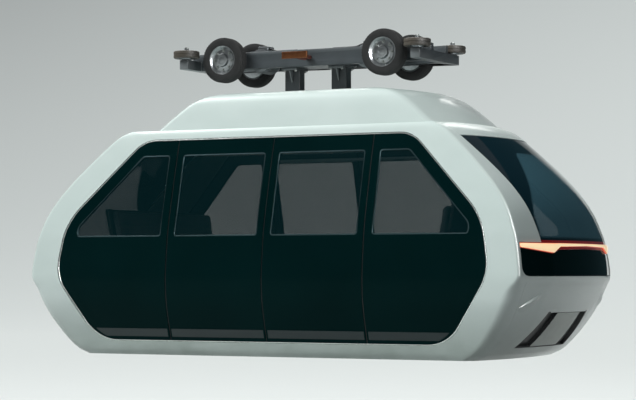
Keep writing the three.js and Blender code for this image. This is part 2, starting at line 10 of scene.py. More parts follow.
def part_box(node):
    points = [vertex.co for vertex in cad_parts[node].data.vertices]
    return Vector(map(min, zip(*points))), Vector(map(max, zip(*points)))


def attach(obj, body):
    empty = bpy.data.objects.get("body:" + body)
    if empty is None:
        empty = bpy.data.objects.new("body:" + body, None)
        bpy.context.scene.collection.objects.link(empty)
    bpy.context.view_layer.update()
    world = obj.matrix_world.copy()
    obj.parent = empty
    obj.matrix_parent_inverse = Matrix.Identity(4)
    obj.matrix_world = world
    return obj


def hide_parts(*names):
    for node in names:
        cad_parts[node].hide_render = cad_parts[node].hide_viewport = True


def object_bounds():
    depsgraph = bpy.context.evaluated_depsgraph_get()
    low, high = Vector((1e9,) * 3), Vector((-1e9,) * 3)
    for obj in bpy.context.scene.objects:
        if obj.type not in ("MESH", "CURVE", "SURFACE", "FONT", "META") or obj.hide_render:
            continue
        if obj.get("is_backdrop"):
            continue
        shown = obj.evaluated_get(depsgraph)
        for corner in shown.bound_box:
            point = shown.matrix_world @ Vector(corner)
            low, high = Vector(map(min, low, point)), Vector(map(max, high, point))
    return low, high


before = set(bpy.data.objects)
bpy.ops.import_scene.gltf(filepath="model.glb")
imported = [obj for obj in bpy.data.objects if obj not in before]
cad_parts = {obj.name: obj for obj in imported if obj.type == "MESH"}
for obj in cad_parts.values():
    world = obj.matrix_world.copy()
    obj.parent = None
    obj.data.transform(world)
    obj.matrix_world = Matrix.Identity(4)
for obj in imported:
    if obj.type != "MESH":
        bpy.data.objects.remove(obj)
cad_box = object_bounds()

# Places taken from the frame
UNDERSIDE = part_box("floor_pan")[0].z
FLOOR_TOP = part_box("floor_pan")[1].z - UNDERSIDE
AXLE_LOW, AXLE_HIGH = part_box("wheelset_front")
AXLE_X = (AXLE_LOW.x + AXLE_HIGH.x) / 2
AXLE_Z = (AXLE_LOW.z + AXLE_HIGH.z) / 2
TYRE_LOW, TYRE_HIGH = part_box("tyre_front_left")
TYRE_Y = (TYRE_LOW.y + TYRE_HIGH.y) / 2
TYRE_HALF = (TYRE_HIGH.y - TYRE_LOW.y) / 2
TYRE_RADIUS = (TYRE_HIGH.z - TYRE_LOW.z) / 2
GUIDE_LOW, GUIDE_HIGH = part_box("guide_wheel_front_left")

# Cabin surface by level. Columns: height over the underside, half length at the side, bulge of the
# end at the middle, half width, strength of the crease
BODY = [
    (0.000, 1.760, 0.095, 0.835, 0.0),
    (0.045, 1.850, 0.105, 0.858, 0.3),
    (0.150, 1.955, 0.120, 0.888, 0.6),
    (0.300, 2.065, 0.135, 0.930, 1.0),
    (0.440, 2.140, 0.150, 0.962, 1.0),
    (0.560, 2.190, 0.160, 0.973, 1.0),
    (0.645, 2.220, 0.170, 0.975, 1.0),
    (0.905, 2.187, 0.180, 0.950, 1.0),
    (1.000, 2.160, 0.180, 0.938, 0.5),
    (1.150, 2.100, 0.180, 0.908, 0.0),
    (1.300, 2.005, 0.180, 0.872, 0.0),
    (1.450, 1.875, 0.180, 0.836, 0.0),
    (1.640, 1.680, 0.180, 0.787, 0.0),
    (1.775, 1.530, 0.175, 0.750, 0.0),
    (1.825, 1.455, 0.170, 0.733, 0.0),
    (1.850, 1.390, 0.165, 0.715, 0.0),
]
# Roof fairing, same columns; it sits a little to the rear
FAIRING = [
    (1.850, 1.245, 0.165, 0.712, 0.0),
    (1.950, 1.125, 0.170, 0.686, 0.0),
    (2.040, 1.010, 0.170, 0.660, 0.0),
    (2.090, 0.930, 0.165, 0.638, 0.0),
    (2.130, 0.830, 0.150, 0.600, 0.0),
    (2.150, 0.710, 0.130, 0.550, 0.0),
]
FAIRING_SHIFT = -0.115
ROOF_TOP = BODY[-1][0]
MIDDLE_HEIGHT = 0.950  # a level halfway up the cabin, which open sheets are turned away from
CREASE_AT = 0.6  # share of the half width at which the end creases
CREASE_BULGE = 0.7  # share of the bulge that is left there
CREASE_BLEND = 0.05  # how softly the crease turns, as a share of the half width
SHARP_CORNER = 0.022  # plan radius of the edge line between a side and an end
SOFT_CORNER = 0.090  # the same below the belt, where the edge line fades out
EDGE_LEVELS = (0.50, 0.66)  # between these heights the corner turns from soft to sharp

# Side glazing. Corners of the outlines: x, height, corner radius
OVAL_TOP = 1.775
OVAL_BOTTOM = 0.110
OVAL = [
    (-1.600, OVAL_BOTTOM, 0.350),
    (1.600, OVAL_BOTTOM, 0.350),
    (1.975, 0.660, 0.350),
    (1.900, 1.100, 0.550),
    (1.235, OVAL_TOP, 0.280),
    (-1.235, OVAL_TOP, 0.280),
    (-1.900, 1.100, 0.550),
    (-1.975, 0.660, 0.350),
]
SILL = 0.970
WINDOW_TOP = 1.640
FIXED_EDGE = 0.900
FIXED_WINDOW = [
    (0.965, SILL, 0.025),
    (1.780, SILL, 0.025),
    (1.800, 1.045, 0.100),
    (1.225, WINDOW_TOP, 0.060),
    (0.965, WINDOW_TOP, 0.025),
]
LEAF = [
    (0.004, 0.117, 0.004),
    (0.893, 0.117, 0.004),
    (0.893, 1.767, 0.004),
    (0.004, 1.767, 0.004),
]
LEAF_WINDOW = [
    (0.060, SILL, 0.025),
    (0.838, SILL, 0.025),
    (0.838, WINDOW_TOP, 0.025),
    (0.060, WINDOW_TOP, 0.025),
]
GAP = 0.004  # visible joint round a panel
PANEL_DEPTH = 0.008  # how far the dark panels sit behind the ring's surface

# End fittings
BUMPER_TOP = 0.648
LAMP_TOP = 0.905
SCREEN_TOP = 1.740
SCREEN_HALF = 0.680
LAMP_MARGIN = 0.032  # white pillar left beside the lamp panel
LAMP_CORNER = 0.075  # radius of the lamp panel's lower corners
BUMPER_MARGIN = 0.100  # white pillar left beside the bumper
# Lower edge of the light bar's outer half: distance from the middle, height
LAMP_EDGE = [(0.0, 0.880), (0.470, 0.872), (0.570, 0.823), (0.940, 0.868), (1.0, 0.875)]
RECESS = {"bottom": 0.095, "top": 0.365, "half_bottom": 0.500, "half_top": 0.385, "depth": 0.040}
INSERT_HALF = 0.255

SIDES = (("left", 1), ("right", -1))
ENDS = (("front", 1), ("rear", -1))


# Surface of the cabin

def row_at(table, height):
    """A table's row at a height, on a smooth curve through its rows."""
    last = len(table) - 2
    i = next((k for k in range(last) if table[k + 1][0] >= height), last)
    before, low, high, after = table[max(i - 1, 0)], table[i], table[i + 1], table[min(i + 2, last + 1)]
    span = high[0] - low[0]
    t = min(max((height - low[0]) / span, 0.0), 1.0)
    row = []
    for column in range(1, len(low)):
        rise_low = (high[column] - before[column]) / (high[0] - before[0]) * span
        rise_high = (after[column] - low[column]) / (after[0] - low[0]) * span
        a, b = low[column], high[column]
        row.append(
            a * (2 * t**3 - 3 * t**2 + 1)
            + b * (3 * t**2 - 2 * t**3)
            + rise_low * (t**3 - 2 * t**2 + t)
            + rise_high * (t**3 - t**2)
        )
    return row


def half_width(height):
    """Half the cabin's width at a height over its underside."""
    return row_at(BODY, height)[2]


def ramp(low, high, value):
    """0 below low, 1 above high, and a smooth step between."""
    t = min(max((value - low) / (high - low), 0.0), 1.0)
    return t * t * (3 - 2 * t)


def corner_radius(height):
    """Plan radius of the edge line between a side and an end, at a height."""
    low, high = EDGE_LEVELS
    return SOFT_CORNER + (SHARP_CORNER - SOFT_CORNER) * ramp(low, high, height)


def bulge_left(share, crease):
    """How much of an end's bulge is left at a share of its half width."""
    arc = 1 - share**2
    inner = 1 - (1 - CREASE_BULGE) * (share / CREASE_AT) ** 2
    outer = CREASE_BULGE * (1 - share) / (1 - CREASE_AT)
    past = (share - CREASE_AT) / CREASE_BLEND
    mix = ramp(-1, 1, past)
    return arc + crease * (inner * (1 - mix) + outer * mix - arc)


def end_x(table, y, height):
    """How far the end reaches at a distance from the middle plane, without the corner."""
    length, bulge, width, crease = row_at(table, height)
    return length + bulge * bulge_left(min(abs(y) / width, 1.0), crease)


def rounded_x(table, y, height, radius):
    """The end with its corner turned into the side."""
    into = max(0.0, abs(y) - (row_at(table, height)[2] - radius)) / radius
    return end_x(table, y, height) - radius * (1 - math.sqrt(max(0.0, 1 - min(into, 1.0) ** 2)))


def corner_start(height):
    """Where the side stops being straight."""
    return end_x(BODY, half_width(height), height) - corner_radius(height)


def on_side(side, x, height, depth=0.0):
    """A place on a side's surface, or some depth behind it."""
    return Vector((x, side * (half_width(height) - depth), UNDERSIDE + height))


def on_end(end, y, height, depth=0.0):
    """A place on an end's surface and round its corners, or some depth behind it."""
    radius = corner_radius(height)
    return Vector((end * (rounded_x(BODY, y, height, radius) - depth), y, UNDERSIDE + height))


# Outlines

def rounded(corners, steps=8):
    """A closed outline through (u, v, radius) corners, with the corners as arcs."""
    points = []
    for i, (u, v, radius) in enumerate(corners):
        here = Vector((u, v))
        back = (Vector(corners[i - 1][:2]) - here).normalized()
        on = (Vector(corners[(i + 1) % len(corners)][:2]) - here).normalized()
        half = back.angle(on) / 2
        middle = (back + on).normalized()
        centre = here + middle * (radius / math.sin(half))
        start = here + back * (radius / math.tan(half)) - centre
        end = here + on * (radius / math.tan(half)) - centre
        turn = start.angle_signed(end)
        for k in range(steps + 1):
            spun = Matrix.Rotation(-turn * k / steps, 2) @ start
            points.append(centre + spun)
    return points


def holds(outline):
    """A test of whether a convex, counter-clockwise outline holds a point."""
    pairs = [(a, b - a) for a, b in zip(outline, outline[1:] + outline[:1])]

    def inside(point):
        return all(along.x * (point.y - a.y) - along.y * (point.x - a.x) >= 0 for a, along in pairs)

    return inside


def reach(centre, direction, inside, far=4.0):
    """How far a ray goes from the centre before it leaves a region."""
    near = 0.0
    for _ in range(34):
        middle = (near + far) / 2
        if inside(centre + direction * middle):
            near = middle
        else:
            far = middle
    return near


def offset_outline(outline, distance):
    """An outline moved outwards by a distance."""
    moved = []
    for i, point in enumerate(outline):
        along = outline[(i + 1) % len(outline)] - outline[i - 1]
        moved.append(point + Vector((along.y, -along.x)).normalized() * distance)
    return moved


# Meshes

def sheet(columns, rows, place, wrap=False, values=None):
    """A grid whose vertices go where place(column, row) says. wrap closes the columns to a ring."""
    bm = bmesh.new()
    bmesh.ops.create_grid(bm, x_segments=columns, y_segments=rows, size=0.5)
    layers = {name: bm.verts.layers.float.new(name) for name in (values or {})}
    for vert in bm.verts:
        column = round((vert.co.x + 0.5) * columns)
        row = round((vert.co.y + 0.5) * rows)
        for name, layer in layers.items():
            vert[layer] = values[name](column, row)
        vert.co = place(column % columns if wrap else column, row)
    bmesh.ops.remove_doubles(bm, verts=bm.verts, dist=1e-5)
    return bm


def face_outwards(bm, centre=None):
    """Turns an open sheet's faces away from a point, by default the cabin's middle."""
    middle = Vector((0, 0, UNDERSIDE + MIDDLE_HEIGHT)) if centre is None else Vector(centre)
    bmesh.ops.recalc_face_normals(bm, faces=bm.faces)
    out = sum(f.normal.dot(f.calc_center_median() - middle) * f.calc_area() for f in bm.faces)
    if out < 0:
        bmesh.ops.reverse_faces(bm, faces=bm.faces)
    return bm


def face_inwards(bm):
    """Turns an open sheet's faces towards the cabin's middle, where the inner trim is seen from."""
    face_outwards(bm)
    bmesh.ops.reverse_faces(bm, faces=bm.faces)
    return bm


def capped(bm):
    """Closes the open ends of a sheet and turns its faces outwards."""
    bmesh.ops.holes_fill(bm, edges=[e for e in bm.edges if e.is_boundary], sides=0)
    bmesh.ops.recalc_face_normals(bm, faces=bm.faces)
    return bm


def piece(
    name, bm, material, body="pod", stands_for=(), wall=0.0, edge=0.0, steps=2, angle=35,
    rim=0, lined=0,
):
    """Makes the object: wall thickens a sheet inwards, and edge rounds its sharp edges.

    rim and lined say which further material the wall's edge and its inner face take.
    """
    mesh = bpy.data.meshes.new(name)
    for face in bm.faces:
        face.smooth = True
    bm.to_mesh(mesh)
    bm.free()
    mesh.set_sharp_from_angle(angle=math.radians(angle))
    made = bpy.data.objects.new(name, mesh)
    bpy.context.scene.collection.objects.link(made)
    for one in material if isinstance(material, (list, tuple)) else [material]:
        mesh.materials.append(one)
    if wall:
        solid = made.modifiers.new("wall", "SOLIDIFY")
        solid.thickness = wall
        solid.offset = -1
        solid.material_offset_rim = rim
        solid.material_offset = lined
    if wall and not edge:
        edge, steps = 0.001, 1
    if edge:
        bevel = made.modifiers.new("edge", "BEVEL")
        bevel.width = edge
        bevel.segments = steps
        bevel.limit_method = "ANGLE"
        bevel.angle_limit = math.radians(angle)
        bevel.harden_normals = True
    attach(made, body)
    if stands_for:
        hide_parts(*stands_for)
    return made


def joined(parts):
    """Several bmeshes as one."""
    whole = bmesh.new()
    for bm in parts:
        copy = bpy.data.meshes.new("part")
        bm.to_mesh(copy)
        bm.free()
        whole.from_mesh(copy)
        bpy.data.meshes.remove(copy)
    return whole


def block(low, high, edge=0.004, segments=2):
    """A box between two corners with rounded edges."""
    bm = bmesh.new()
    low, high = Vector(low), Vector(high)
    bmesh.ops.create_cube(bm, size=1.0)
    bmesh.ops.scale(bm, vec=high - low, verts=bm.verts)
    bmesh.ops.translate(bm, vec=(low + high) / 2, verts=bm.verts)
    if edge:
        bmesh.ops.bevel(
            bm, geom=bm.edges, offset=edge, segments=segments, profile=0.5, affect="EDGES", material=-1
        )
    bmesh.ops.recalc_face_normals(bm, faces=bm.faces)
    return bm


def turned(profile, axis, centre, steps=48):
    """Spins a closed or open profile of (radius, level) pairs about an axis through the centre."""
    bm = bmesh.new()
    verts = [bm.verts.new((radius, 0, level)) for radius, level in profile]
    for a, b in zip(verts, verts[1:]):
        bm.edges.new((a, b))
    if profile[0][0] > 0.0005 and profile[-1][0] > 0.0005:
        bm.edges.new((verts[-1], verts[0]))
    line = bm.verts[:] + bm.edges[:]
    bmesh.ops.spin(
        bm, geom=line, axis=(0, 0, 1), cent=(0, 0, 0), angle=math.tau, steps=steps, use_merge=True
    )
    bmesh.ops.remove_doubles(bm, verts=bm.verts, dist=1e-5)
    bmesh.ops.recalc_face_normals(bm, faces=bm.faces)
    turn = Vector((0, 0, 1)).rotation_difference(Vector(axis)).to_matrix()
    bmesh.ops.rotate(bm, verts=bm.verts, cent=(0, 0, 0), matrix=turn)
    bmesh.ops.translate(bm, verts=bm.verts, vec=centre)
    return bm


def tube(path, radius, sides=10):
    """A round bar or hose along a list of points, closed at both ends."""
    points = [Vector(p) for p in path]
    last = len(points) - 1
    frames = []
    across = Vector((0.31, 0.17, 0.93))  # any direction that no path here runs along
    for i, point in enumerate(points):
        along = (points[min(i + 1, last)] - points[max(i - 1, 0)]).normalized()
        across = (across - along * across.dot(along)).normalized()
        frames.append((point, across, along.cross(across)))

    def place(column, row):
        point, a, b = frames[row]
        turn = math.tau * column / sides
        return point + (a * math.cos(turn) + b * math.sin(turn)) * radius

    return capped(sheet(sides, last, place, wrap=True))


def dressed_copy(node, edge):
    """A frame node's own shape with its flat faces joined and its edges rounded."""
    bm = bmesh.new()
    bm.from_mesh(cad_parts[node].data)
    bmesh.ops.remove_doubles(bm, verts=bm.verts, dist=1e-5)
    bmesh.ops.dissolve_limit(bm, angle_limit=math.radians(1), verts=bm.verts, edges=bm.edges)
    sharp = [e for e in bm.edges if e.is_manifold and e.calc_face_angle(0) > math.radians(35)]
    bmesh.ops.bevel(
        bm, geom=sharp, offset=edge, segments=2, profile=0.5, affect="EDGES", material=-1, clamp_overlap=True
    )
    return bm


def bolts(places, axis, radius=0.009, height=0.007):
    """Hexagon heads on washers at a list of places."""
    turn = Vector((0, 0, 1)).rotation_difference(Vector(axis)).to_matrix().to_4x4()
    parts = []
    for place in places:
        bm = bmesh.new()
        seat = Matrix.Translation(place) @ turn
        washer = (radius * 1.45, radius * 1.45, height * 0.25, 16, height * 0.12)
        head = (radius, radius * 0.92, height, 6, height * 0.7)
        for low_radius, high_radius, depth, segments, level in (washer, head):
            bmesh.ops.create_cone(
                bm,
                cap_ends=True,
                segments=segments,
                radius1=low_radius,
                radius2=high_radius,
                depth=depth,
                matrix=seat @ Matrix.Translation((0, 0, level)),
            )
        parts.append(bm)
    return joined(parts)


def circle(centre, radius, count, flat=False, start=0.0):
    """Evenly spaced places round a centre, about Y, or about Z where flat."""
    x, y, z = centre
    places = []
    for k in range(count):
        turn = math.tau * (k + start) / count
        a, b = radius * math.cos(turn), radius * math.sin(turn)
        places.append(Vector((x + a, y + b, z) if flat else (x + a, y, z + b)))
    return places


def moulding(outline, section, place):
    """A closed strip round an outline. section holds (offset outwards, depth) pairs, closed."""
    count = len(outline)
    loops = [offset_outline(outline, offset) for offset, _ in section]

    def at(column, row):
        point = loops[row % len(section)][column % count]
        return place(point.x, point.y, section[row % len(section)][1])

    bm = sheet(count, len(section), at)
    bmesh.ops.recalc_face_normals(bm, faces=bm.faces)
    return bm


def pane(outline, place, columns, rows):
    """A sheet inside a convex outline: a flat grid cut along the outline, then laid on a surface."""
    low = Vector((min(p.x for p in outline), min(p.y for p in outline)))
    high = Vector((max(p.x for p in outline), max(p.y for p in outline)))
    bm = bmesh.new()
    bmesh.ops.create_grid(bm, x_segments=columns, y_segments=rows, size=0.5)
    for vert in bm.verts:
        x = low.x + (vert.co.x + 0.5) * (high.x - low.x)
        vert.co = Vector((x, low.y + (vert.co.y + 0.5) * (high.y - low.y), 0))
    for a, b in zip(outline, outline[1:] + outline[:1]):
        if (b - a).length < 1e-6:
            continue
        outwards = Vector((b.y - a.y, a.x - b.x, 0)).normalized()
        bmesh.ops.bisect_plane(
            bm,
            geom=bm.verts[:] + bm.edges[:] + bm.faces[:],
            plane_co=(a.x, a.y, 0),
            plane_no=outwards,
            clear_outer=True,
        )
    for vert in bm.verts:
        vert.co = place(vert.co.x, vert.co.y, 0.0)
    return bm


def rays_between(centre, marks, count, inner, outer):
    """Rays from a centre, through the marks and evenly spaced, and how far two regions reach on each."""
    angles = {round(math.atan2(*(p - centre).yx), 6) for p in marks}
    angles |= {round(math.tau * k / count - math.pi, 6) for k in range(count)}
    rays = []
    for angle in sorted(angles):
        direction = Vector((math.cos(angle), math.sin(angle)))
        rays.append((direction, reach(centre, direction, inner), reach(centre, direction, outer)))
    return rays


def frame_sheet(inner, outer, place, rows, columns=96):
    """A sheet between a window's outline and a panel's outer outline, both convex, on rays."""
    centre = sum(inner, Vector((0, 0))) / len(inner)
    rays = rays_between(centre, inner + outer, columns, holds(inner), holds(outer))

    def at(column, row):
        direction, near, far = rays[column]
        point = centre + direction * (near + (far - near) * row / rows)
        return place(point.x, point.y, 0.0)

    return sheet(len(rays), rows, at, wrap=True)


# Materials

def colour(code):
    """An sRGB hex colour as linear values."""
    parts = [int(code[i : i + 2], 16) / 255 for i in (0, 2, 4)]
    linear = [c / 12.92 if c <= 0.04045 else ((c + 0.055) / 1.055) ** 2.4 for c in parts]
    return (*linear, 1.0)


def add(tree, kind, inputs=None, **settings):
    """Adds a node, with its settings, and its inputs as values or as links."""
    node = tree.nodes.new(kind)
    for key, value in settings.items():
        setattr(node, key, value)
    for socket, value in (inputs or {}).items():
        if isinstance(value, bpy.types.NodeSocket):
            tree.links.new(value, node.inputs[socket])
        else:
            node.inputs[socket].default_value = value
    return node


def finish(name, base, roughness, metallic=0.0, **sockets):
    """A material with its shader's plain values set; returns it with its node tree and shader."""
    made = bpy.data.materials.new(name)
    made.use_nodes = True
    tree = made.node_tree
    tree.nodes.clear()
    values = {"Base Color": colour(base), "Roughness": roughness, "Metallic": metallic, **sockets}
    shader = add(tree, "ShaderNodeBsdfPrincipled", values)
    add(tree, "ShaderNodeOutputMaterial", {"Surface": shader.outputs["BSDF"]})
    return made, tree, shader


def pattern(tree, kind, size_mm, detail=2.0, stretch=(1, 1, 1), **settings):
    """A texture on object coordinates whose features are about size_mm across."""
    place = add(tree, "ShaderNodeTexCoord")
    scale = tuple(1000 / size_mm / s for s in stretch)
    mapped = add(tree, "ShaderNodeMapping", {"Vector": place.outputs["Object"], "Scale": scale})
    inputs = {"Vector": mapped.outputs["Vector"], "Scale": 1.0}
    if kind == "ShaderNodeTexNoise":
        inputs["Detail"] = detail
    return add(tree, kind, inputs, **settings)


# Places of a colour mix's two inputs and its result, whose names the node's number sockets share
MIX_LOW, MIX_HIGH, MIX_RESULT = 6, 7, 2


def vary(tree, shader, socket, value, low, high):
    """Drives one socket from a 0 to 1 value between two settings, numbers or colours."""
    if isinstance(low, str):
        shades = {"Factor": value, MIX_LOW: colour(low), MIX_HIGH: colour(high)}
        result = add(tree, "ShaderNodeMix", shades, data_type="RGBA").outputs[MIX_RESULT]
    else:
        scaled = add(tree, "ShaderNodeMapRange", {"Value": value, "To Min": low, "To Max": high})
        result = scaled.outputs["Result"]
    tree.links.new(result, shader.inputs[socket])
    return result


def relief(tree, shader, height, depth_mm, socket="Normal"):
    """Raises the surface by a 0 to 1 height that is depth_mm at its full."""
    bump = add(tree, "ShaderNodeBump", {"Height": height, "Distance": depth_mm / 1000, "Strength": 1.0})
    tree.links.new(bump.outputs["Normal"], shader.inputs[socket])


def pearl_paint():
    """Two-coat pearl on a moulded shell: soft gloss, faint orange peel, and painted shade low down."""
    made, tree, shader = finish(
        "pearl_white_two_coat_paint", "cbd8d4", 0.4, 0.0, **{"Coat Weight": 0.4, "Coat Roughness": 0.12}
    )
    mottle = pattern(tree, "ShaderNodeTexNoise", 260, 4.0, (1.6, 1.6, 1)).outputs["Fac"]
    clean = vary(tree, shader, "Base Color", mottle, "c4d2ce", "d2dedb")
    place = add(tree, "ShaderNodeTexCoord").outputs["Object"]
    level = add(tree, "ShaderNodeSeparateXYZ", {"Vector": place}).outputs["Z"]
    # Darker and greener towards the underside, broken up by the mottle: painted shade where the side turns
    # under
    low_down = add(
        tree,
        "ShaderNodeMapRange",
        {"Value": level, "From Min": UNDERSIDE, "From Max": UNDERSIDE + 0.5, "To Min": 1.0, "To Max": 0.0},
        interpolation_type="SMOOTHSTEP",
    )
    painted_low_shade = add(tree, "ShaderNodeMath", {0: low_down.outputs["Result"], 1: mottle}, operation="MULTIPLY")
    shades = {"Factor": painted_low_shade.outputs["Value"], MIX_LOW: clean, MIX_HIGH: colour("75847b")}
    low_shaded = add(tree, "ShaderNodeMix", shades, data_type="RGBA")
    tree.links.new(low_shaded.outputs[MIX_RESULT], shader.inputs["Base Color"])
    flake = pattern(tree, "ShaderNodeTexNoise", 14, 3.0).outputs["Fac"]
    vary(tree, shader, "Roughness", flake, 0.33, 0.47)
    peel = pattern(tree, "ShaderNodeTexNoise", 9, 1.0).outputs["Fac"]
    relief(tree, shader, peel, 0.02, "Coat Normal")
    return made


def underbody_paint():
    """Textured protective coat sprayed under the floor: fine grain, matt."""
    made, tree, shader = finish("stone_guard_coat", "7e8582", 0.62)
    grain = pattern(tree, "ShaderNodeTexNoise", 6, 4.0).outputs["Fac"]
    relief(tree, shader, grain, 0.35)
    mottle = pattern(tree, "ShaderNodeTexNoise", 180, 5.0).outputs["Fac"]
    vary(tree, shader, "Base Color", mottle, "686f6c", "8d9491")
    return made


def gloss_panel():
    """Deep-tinted polycarbonate glazing over a black backing: near mirror gloss."""
    made, tree, shader = finish(
        "gloss_tinted_polycarbonate",
        "031a1b",
        0.08,
        0.0,
        **{"IOR": 1.49, "Specular IOR Level": 0.08, "Specular Tint": colour("8fcfc8")},
    )
    depth = pattern(tree, "ShaderNodeTexNoise", 700, 2.0).outputs["Fac"]
    vary(tree, shader, "Base Color", depth, "011415", "031e1f")
    wipe = pattern(tree, "ShaderNodeTexNoise", 90, 3.0, (3, 3, 1)).outputs["Fac"]
    vary(tree, shader, "Roughness", wipe, 0.05, 0.11)
    return made


def tinted_glass():
    """Laminated tinted safety glass: dark grey-green, clear gloss, slight ripple."""
    made, tree, shader = finish(
        "laminated_tinted_glass",
        "062226",
        0.03,
        0.0,
        **{"IOR": 1.52, "Alpha": 0.46, "Specular IOR Level": 0.3, "Specular Tint": colour("a8d8d2")},
    )
    ripple = pattern(tree, "ShaderNodeTexNoise", 420, 1.0).outputs["Fac"]
    relief(tree, shader, ripple, 0.15)
    mottle = pattern(tree, "ShaderNodeTexNoise", 160, 2.0).outputs["Fac"]
    vary(tree, shader, "Roughness", mottle, 0.01, 0.04)
    return made


def screen_glass():
    """Bonded end screen: tinted glass with a fired black border, which its frit attribute maps. Its clear
    area is a pale teal, partly a painted reflection of the sky.
    """
    made, tree, shader = finish(
        "bonded_screen_glass", "16272b", 0.05, 0.0, **{"IOR": 1.52, "Specular IOR Level": 0.2}
    )
    border = add(tree, "ShaderNodeAttribute", attribute_name="frit").outputs["Fac"]
    # The clear area's pale teal is partly a painted reflection of the sky
    vary(tree, shader, "Base Color", border, "456d7b", "08222b")
    vary(tree, shader, "Alpha", border, 0.66, 1.0)
    ripple = pattern(tree, "ShaderNodeTexNoise", 320, 1.0).outputs["Fac"]
    relief(tree, shader, ripple, 0.15)
    return made


def lamp_lens(name, core, rim, strength):
    """Moulded acrylic light guide: bright along its middle, deeper at its edges, faint prisms."""
    made, tree, shader = finish(name, core, 0.12, 0.0, **{"Coat Weight": 0.5, "Emission Strength": strength})
    across = add(tree, "ShaderNodeAttribute", attribute_name="across").outputs["Fac"]
    vary(tree, shader, "Base Color", across, rim, core)
    vary(tree, shader, "Emission Color", across, rim, core)
    prisms = pattern(tree, "ShaderNodeTexWave", 9, bands_direction="Y")
    relief(tree, shader, prisms.outputs["Fac"], 0.15)
    return made


def plastic(name, base, dark, roughness, grain_mm, grain_depth):
    """Moulded plastic: a quiet sheen, broken by its tool's grain."""
    made, tree, shader = finish(name, base, roughness)
    shade = pattern(tree, "ShaderNodeTexNoise", 120, 3.0).outputs["Fac"]
    vary(tree, shader, "Base Color", shade, dark, base)
    grain = pattern(tree, "ShaderNodeTexVoronoi", grain_mm)
    relief(tree, shader, grain.outputs["Distance"], grain_depth)
    return made


def metal(name, base, dark, roughness, spread, grain_mm, stretch=(1, 1, 1), depth_mm=0.05):
    """Bare metal: a streaked or mottled sheen from how it was made."""
    made, tree, shader = finish(name, base, roughness, 1.0)
    marks = pattern(tree, "ShaderNodeTexNoise", grain_mm, 5.0, stretch).outputs["Fac"]
    vary(tree, shader, "Roughness", marks, roughness - spread, roughness + spread)
    tone = pattern(tree, "ShaderNodeTexNoise", grain_mm * 12, 3.0).outputs["Fac"]
    vary(tree, shader, "Base Color", tone, dark, base)
    relief(tree, shader, marks, depth_mm)
    return made


def coated_steel(name, base, dark, bare):
    """Powder-coated steel: slight pebble, dust in patches, paler where edges wear."""
    made, tree, shader = finish(name, base, 0.48, 0.15)
    dust = pattern(tree, "ShaderNodeTexNoise", 150, 6.0).outputs["Fac"]
    tone = vary(tree, shader, "Base Color", dust, dark, base)
    edges = add(tree, "ShaderNodeNewGeometry").outputs["Pointiness"]
    worn = add(tree, "ShaderNodeMapRange", {"Value": edges, "From Min": 0.53, "From Max": 0.6})
    shades = {"Factor": worn.outputs["Result"], MIX_LOW: tone, MIX_HIGH: colour(bare)}
    rubbed = add(tree, "ShaderNodeMix", shades, data_type="RGBA")
    tree.links.new(rubbed.outputs[MIX_RESULT], shader.inputs["Base Color"])
    pebble = pattern(tree, "ShaderNodeTexNoise", 5, 2.0).outputs["Fac"]
    relief(tree, shader, pebble, 0.12)
    return made


def rubber(name, base, dusty, roughness=0.82):
    """Vulcanised rubber: matt, with grey dust worked into it."""
    made, tree, shader = finish(name, base, roughness)
    dust = pattern(tree, "ShaderNodeTexNoise", 45, 6.0).outputs["Fac"]
    vary(tree, shader, "Base Color", dust, base, dusty)
    grain = pattern(tree, "ShaderNodeTexNoise", 3, 2.0).outputs["Fac"]
    relief(tree, shader, grain, 0.2)
    return made


def moquette():
    """Cut wool moquette on the benches: short pile, two close greys in the weave."""
    made, tree, shader = finish("wool_moquette", "4a565b", 0.95, 0.0, **{"Sheen Weight": 0.35})
    # The real pile is about 1 mm; it is drawn at 5 mm so that it shows
    weave = pattern(tree, "ShaderNodeTexChecker", 5)
    weave.inputs["Color1"].default_value = (0.35, 0.35, 0.35, 1)
    weave.inputs["Color2"].default_value = (0.65, 0.65, 0.65, 1)
    pile = pattern(tree, "ShaderNodeTexNoise", 7, 4.0).outputs["Fac"]
    mixed = add(tree, "ShaderNodeMath", {0: weave.outputs["Fac"], 1: pile}, operation="MULTIPLY")
    vary(tree, shader, "Base Color", mixed.outputs["Value"], "39444a", "6a777c")
    relief(tree, shader, mixed.outputs["Value"], 0.8)
    return made


def speckled(name, base, fleck, fleck_mm, roughness):
    """Sheet vinyl with fine paler flecks, matt."""
    made, tree, shader = finish(name, base, roughness)
    flecks = pattern(tree, "ShaderNodeTexNoise", fleck_mm, 6.0).outputs["Fac"]
    sharp = add(tree, "ShaderNodeMapRange", {"Value": flecks, "From Min": 0.45, "From Max": 0.62})
    vary(tree, shader, "Base Color", sharp.outputs["Result"], base, fleck)
    relief(tree, shader, flecks, 0.15)
    return made


PEARL = pearl_paint()
GUARD = underbody_paint()
PANEL = gloss_panel()
GLASS = tinted_glass()
SCREEN = screen_glass()
# A warm core with a red rim at the tail, a white core in front, and strips of faint deep red that glow:
# painted light from the tail lamp on its red reflectors
REAR_LAMP = lamp_lens("rear_acrylic_light_guide", "f4d9ac", "dc3a1a", 0.85)
FRONT_LAMP = lamp_lens("front_acrylic_light_guide", "f6faff", "aebccc", 0.95)
RED_REFLECTOR_GLOW = lamp_lens("deep_red_reflector_painted_glow", "8a1214", "6a0b0e", 0.5)
# Plastics: near black in joints, charcoal on benches, grey on doors, pale overhead
DARK_TRIM = plastic("black_abs_trim", "15191a", "0c0f10", 0.42, 2.5, 0.06)
SHELL_ABS = plastic("moulded_abs_seat_shell", "2b2f32", "222629", 0.5, 2.5, 0.1)
INNER_TRIM = plastic("grained_abs_door_trim", "454c4f", "3b4245", 0.6, 3, 0.08)
LINING = plastic("pale_ceiling_laminate", "9aa3a3", "8d9696", 0.6, 4, 0.04)
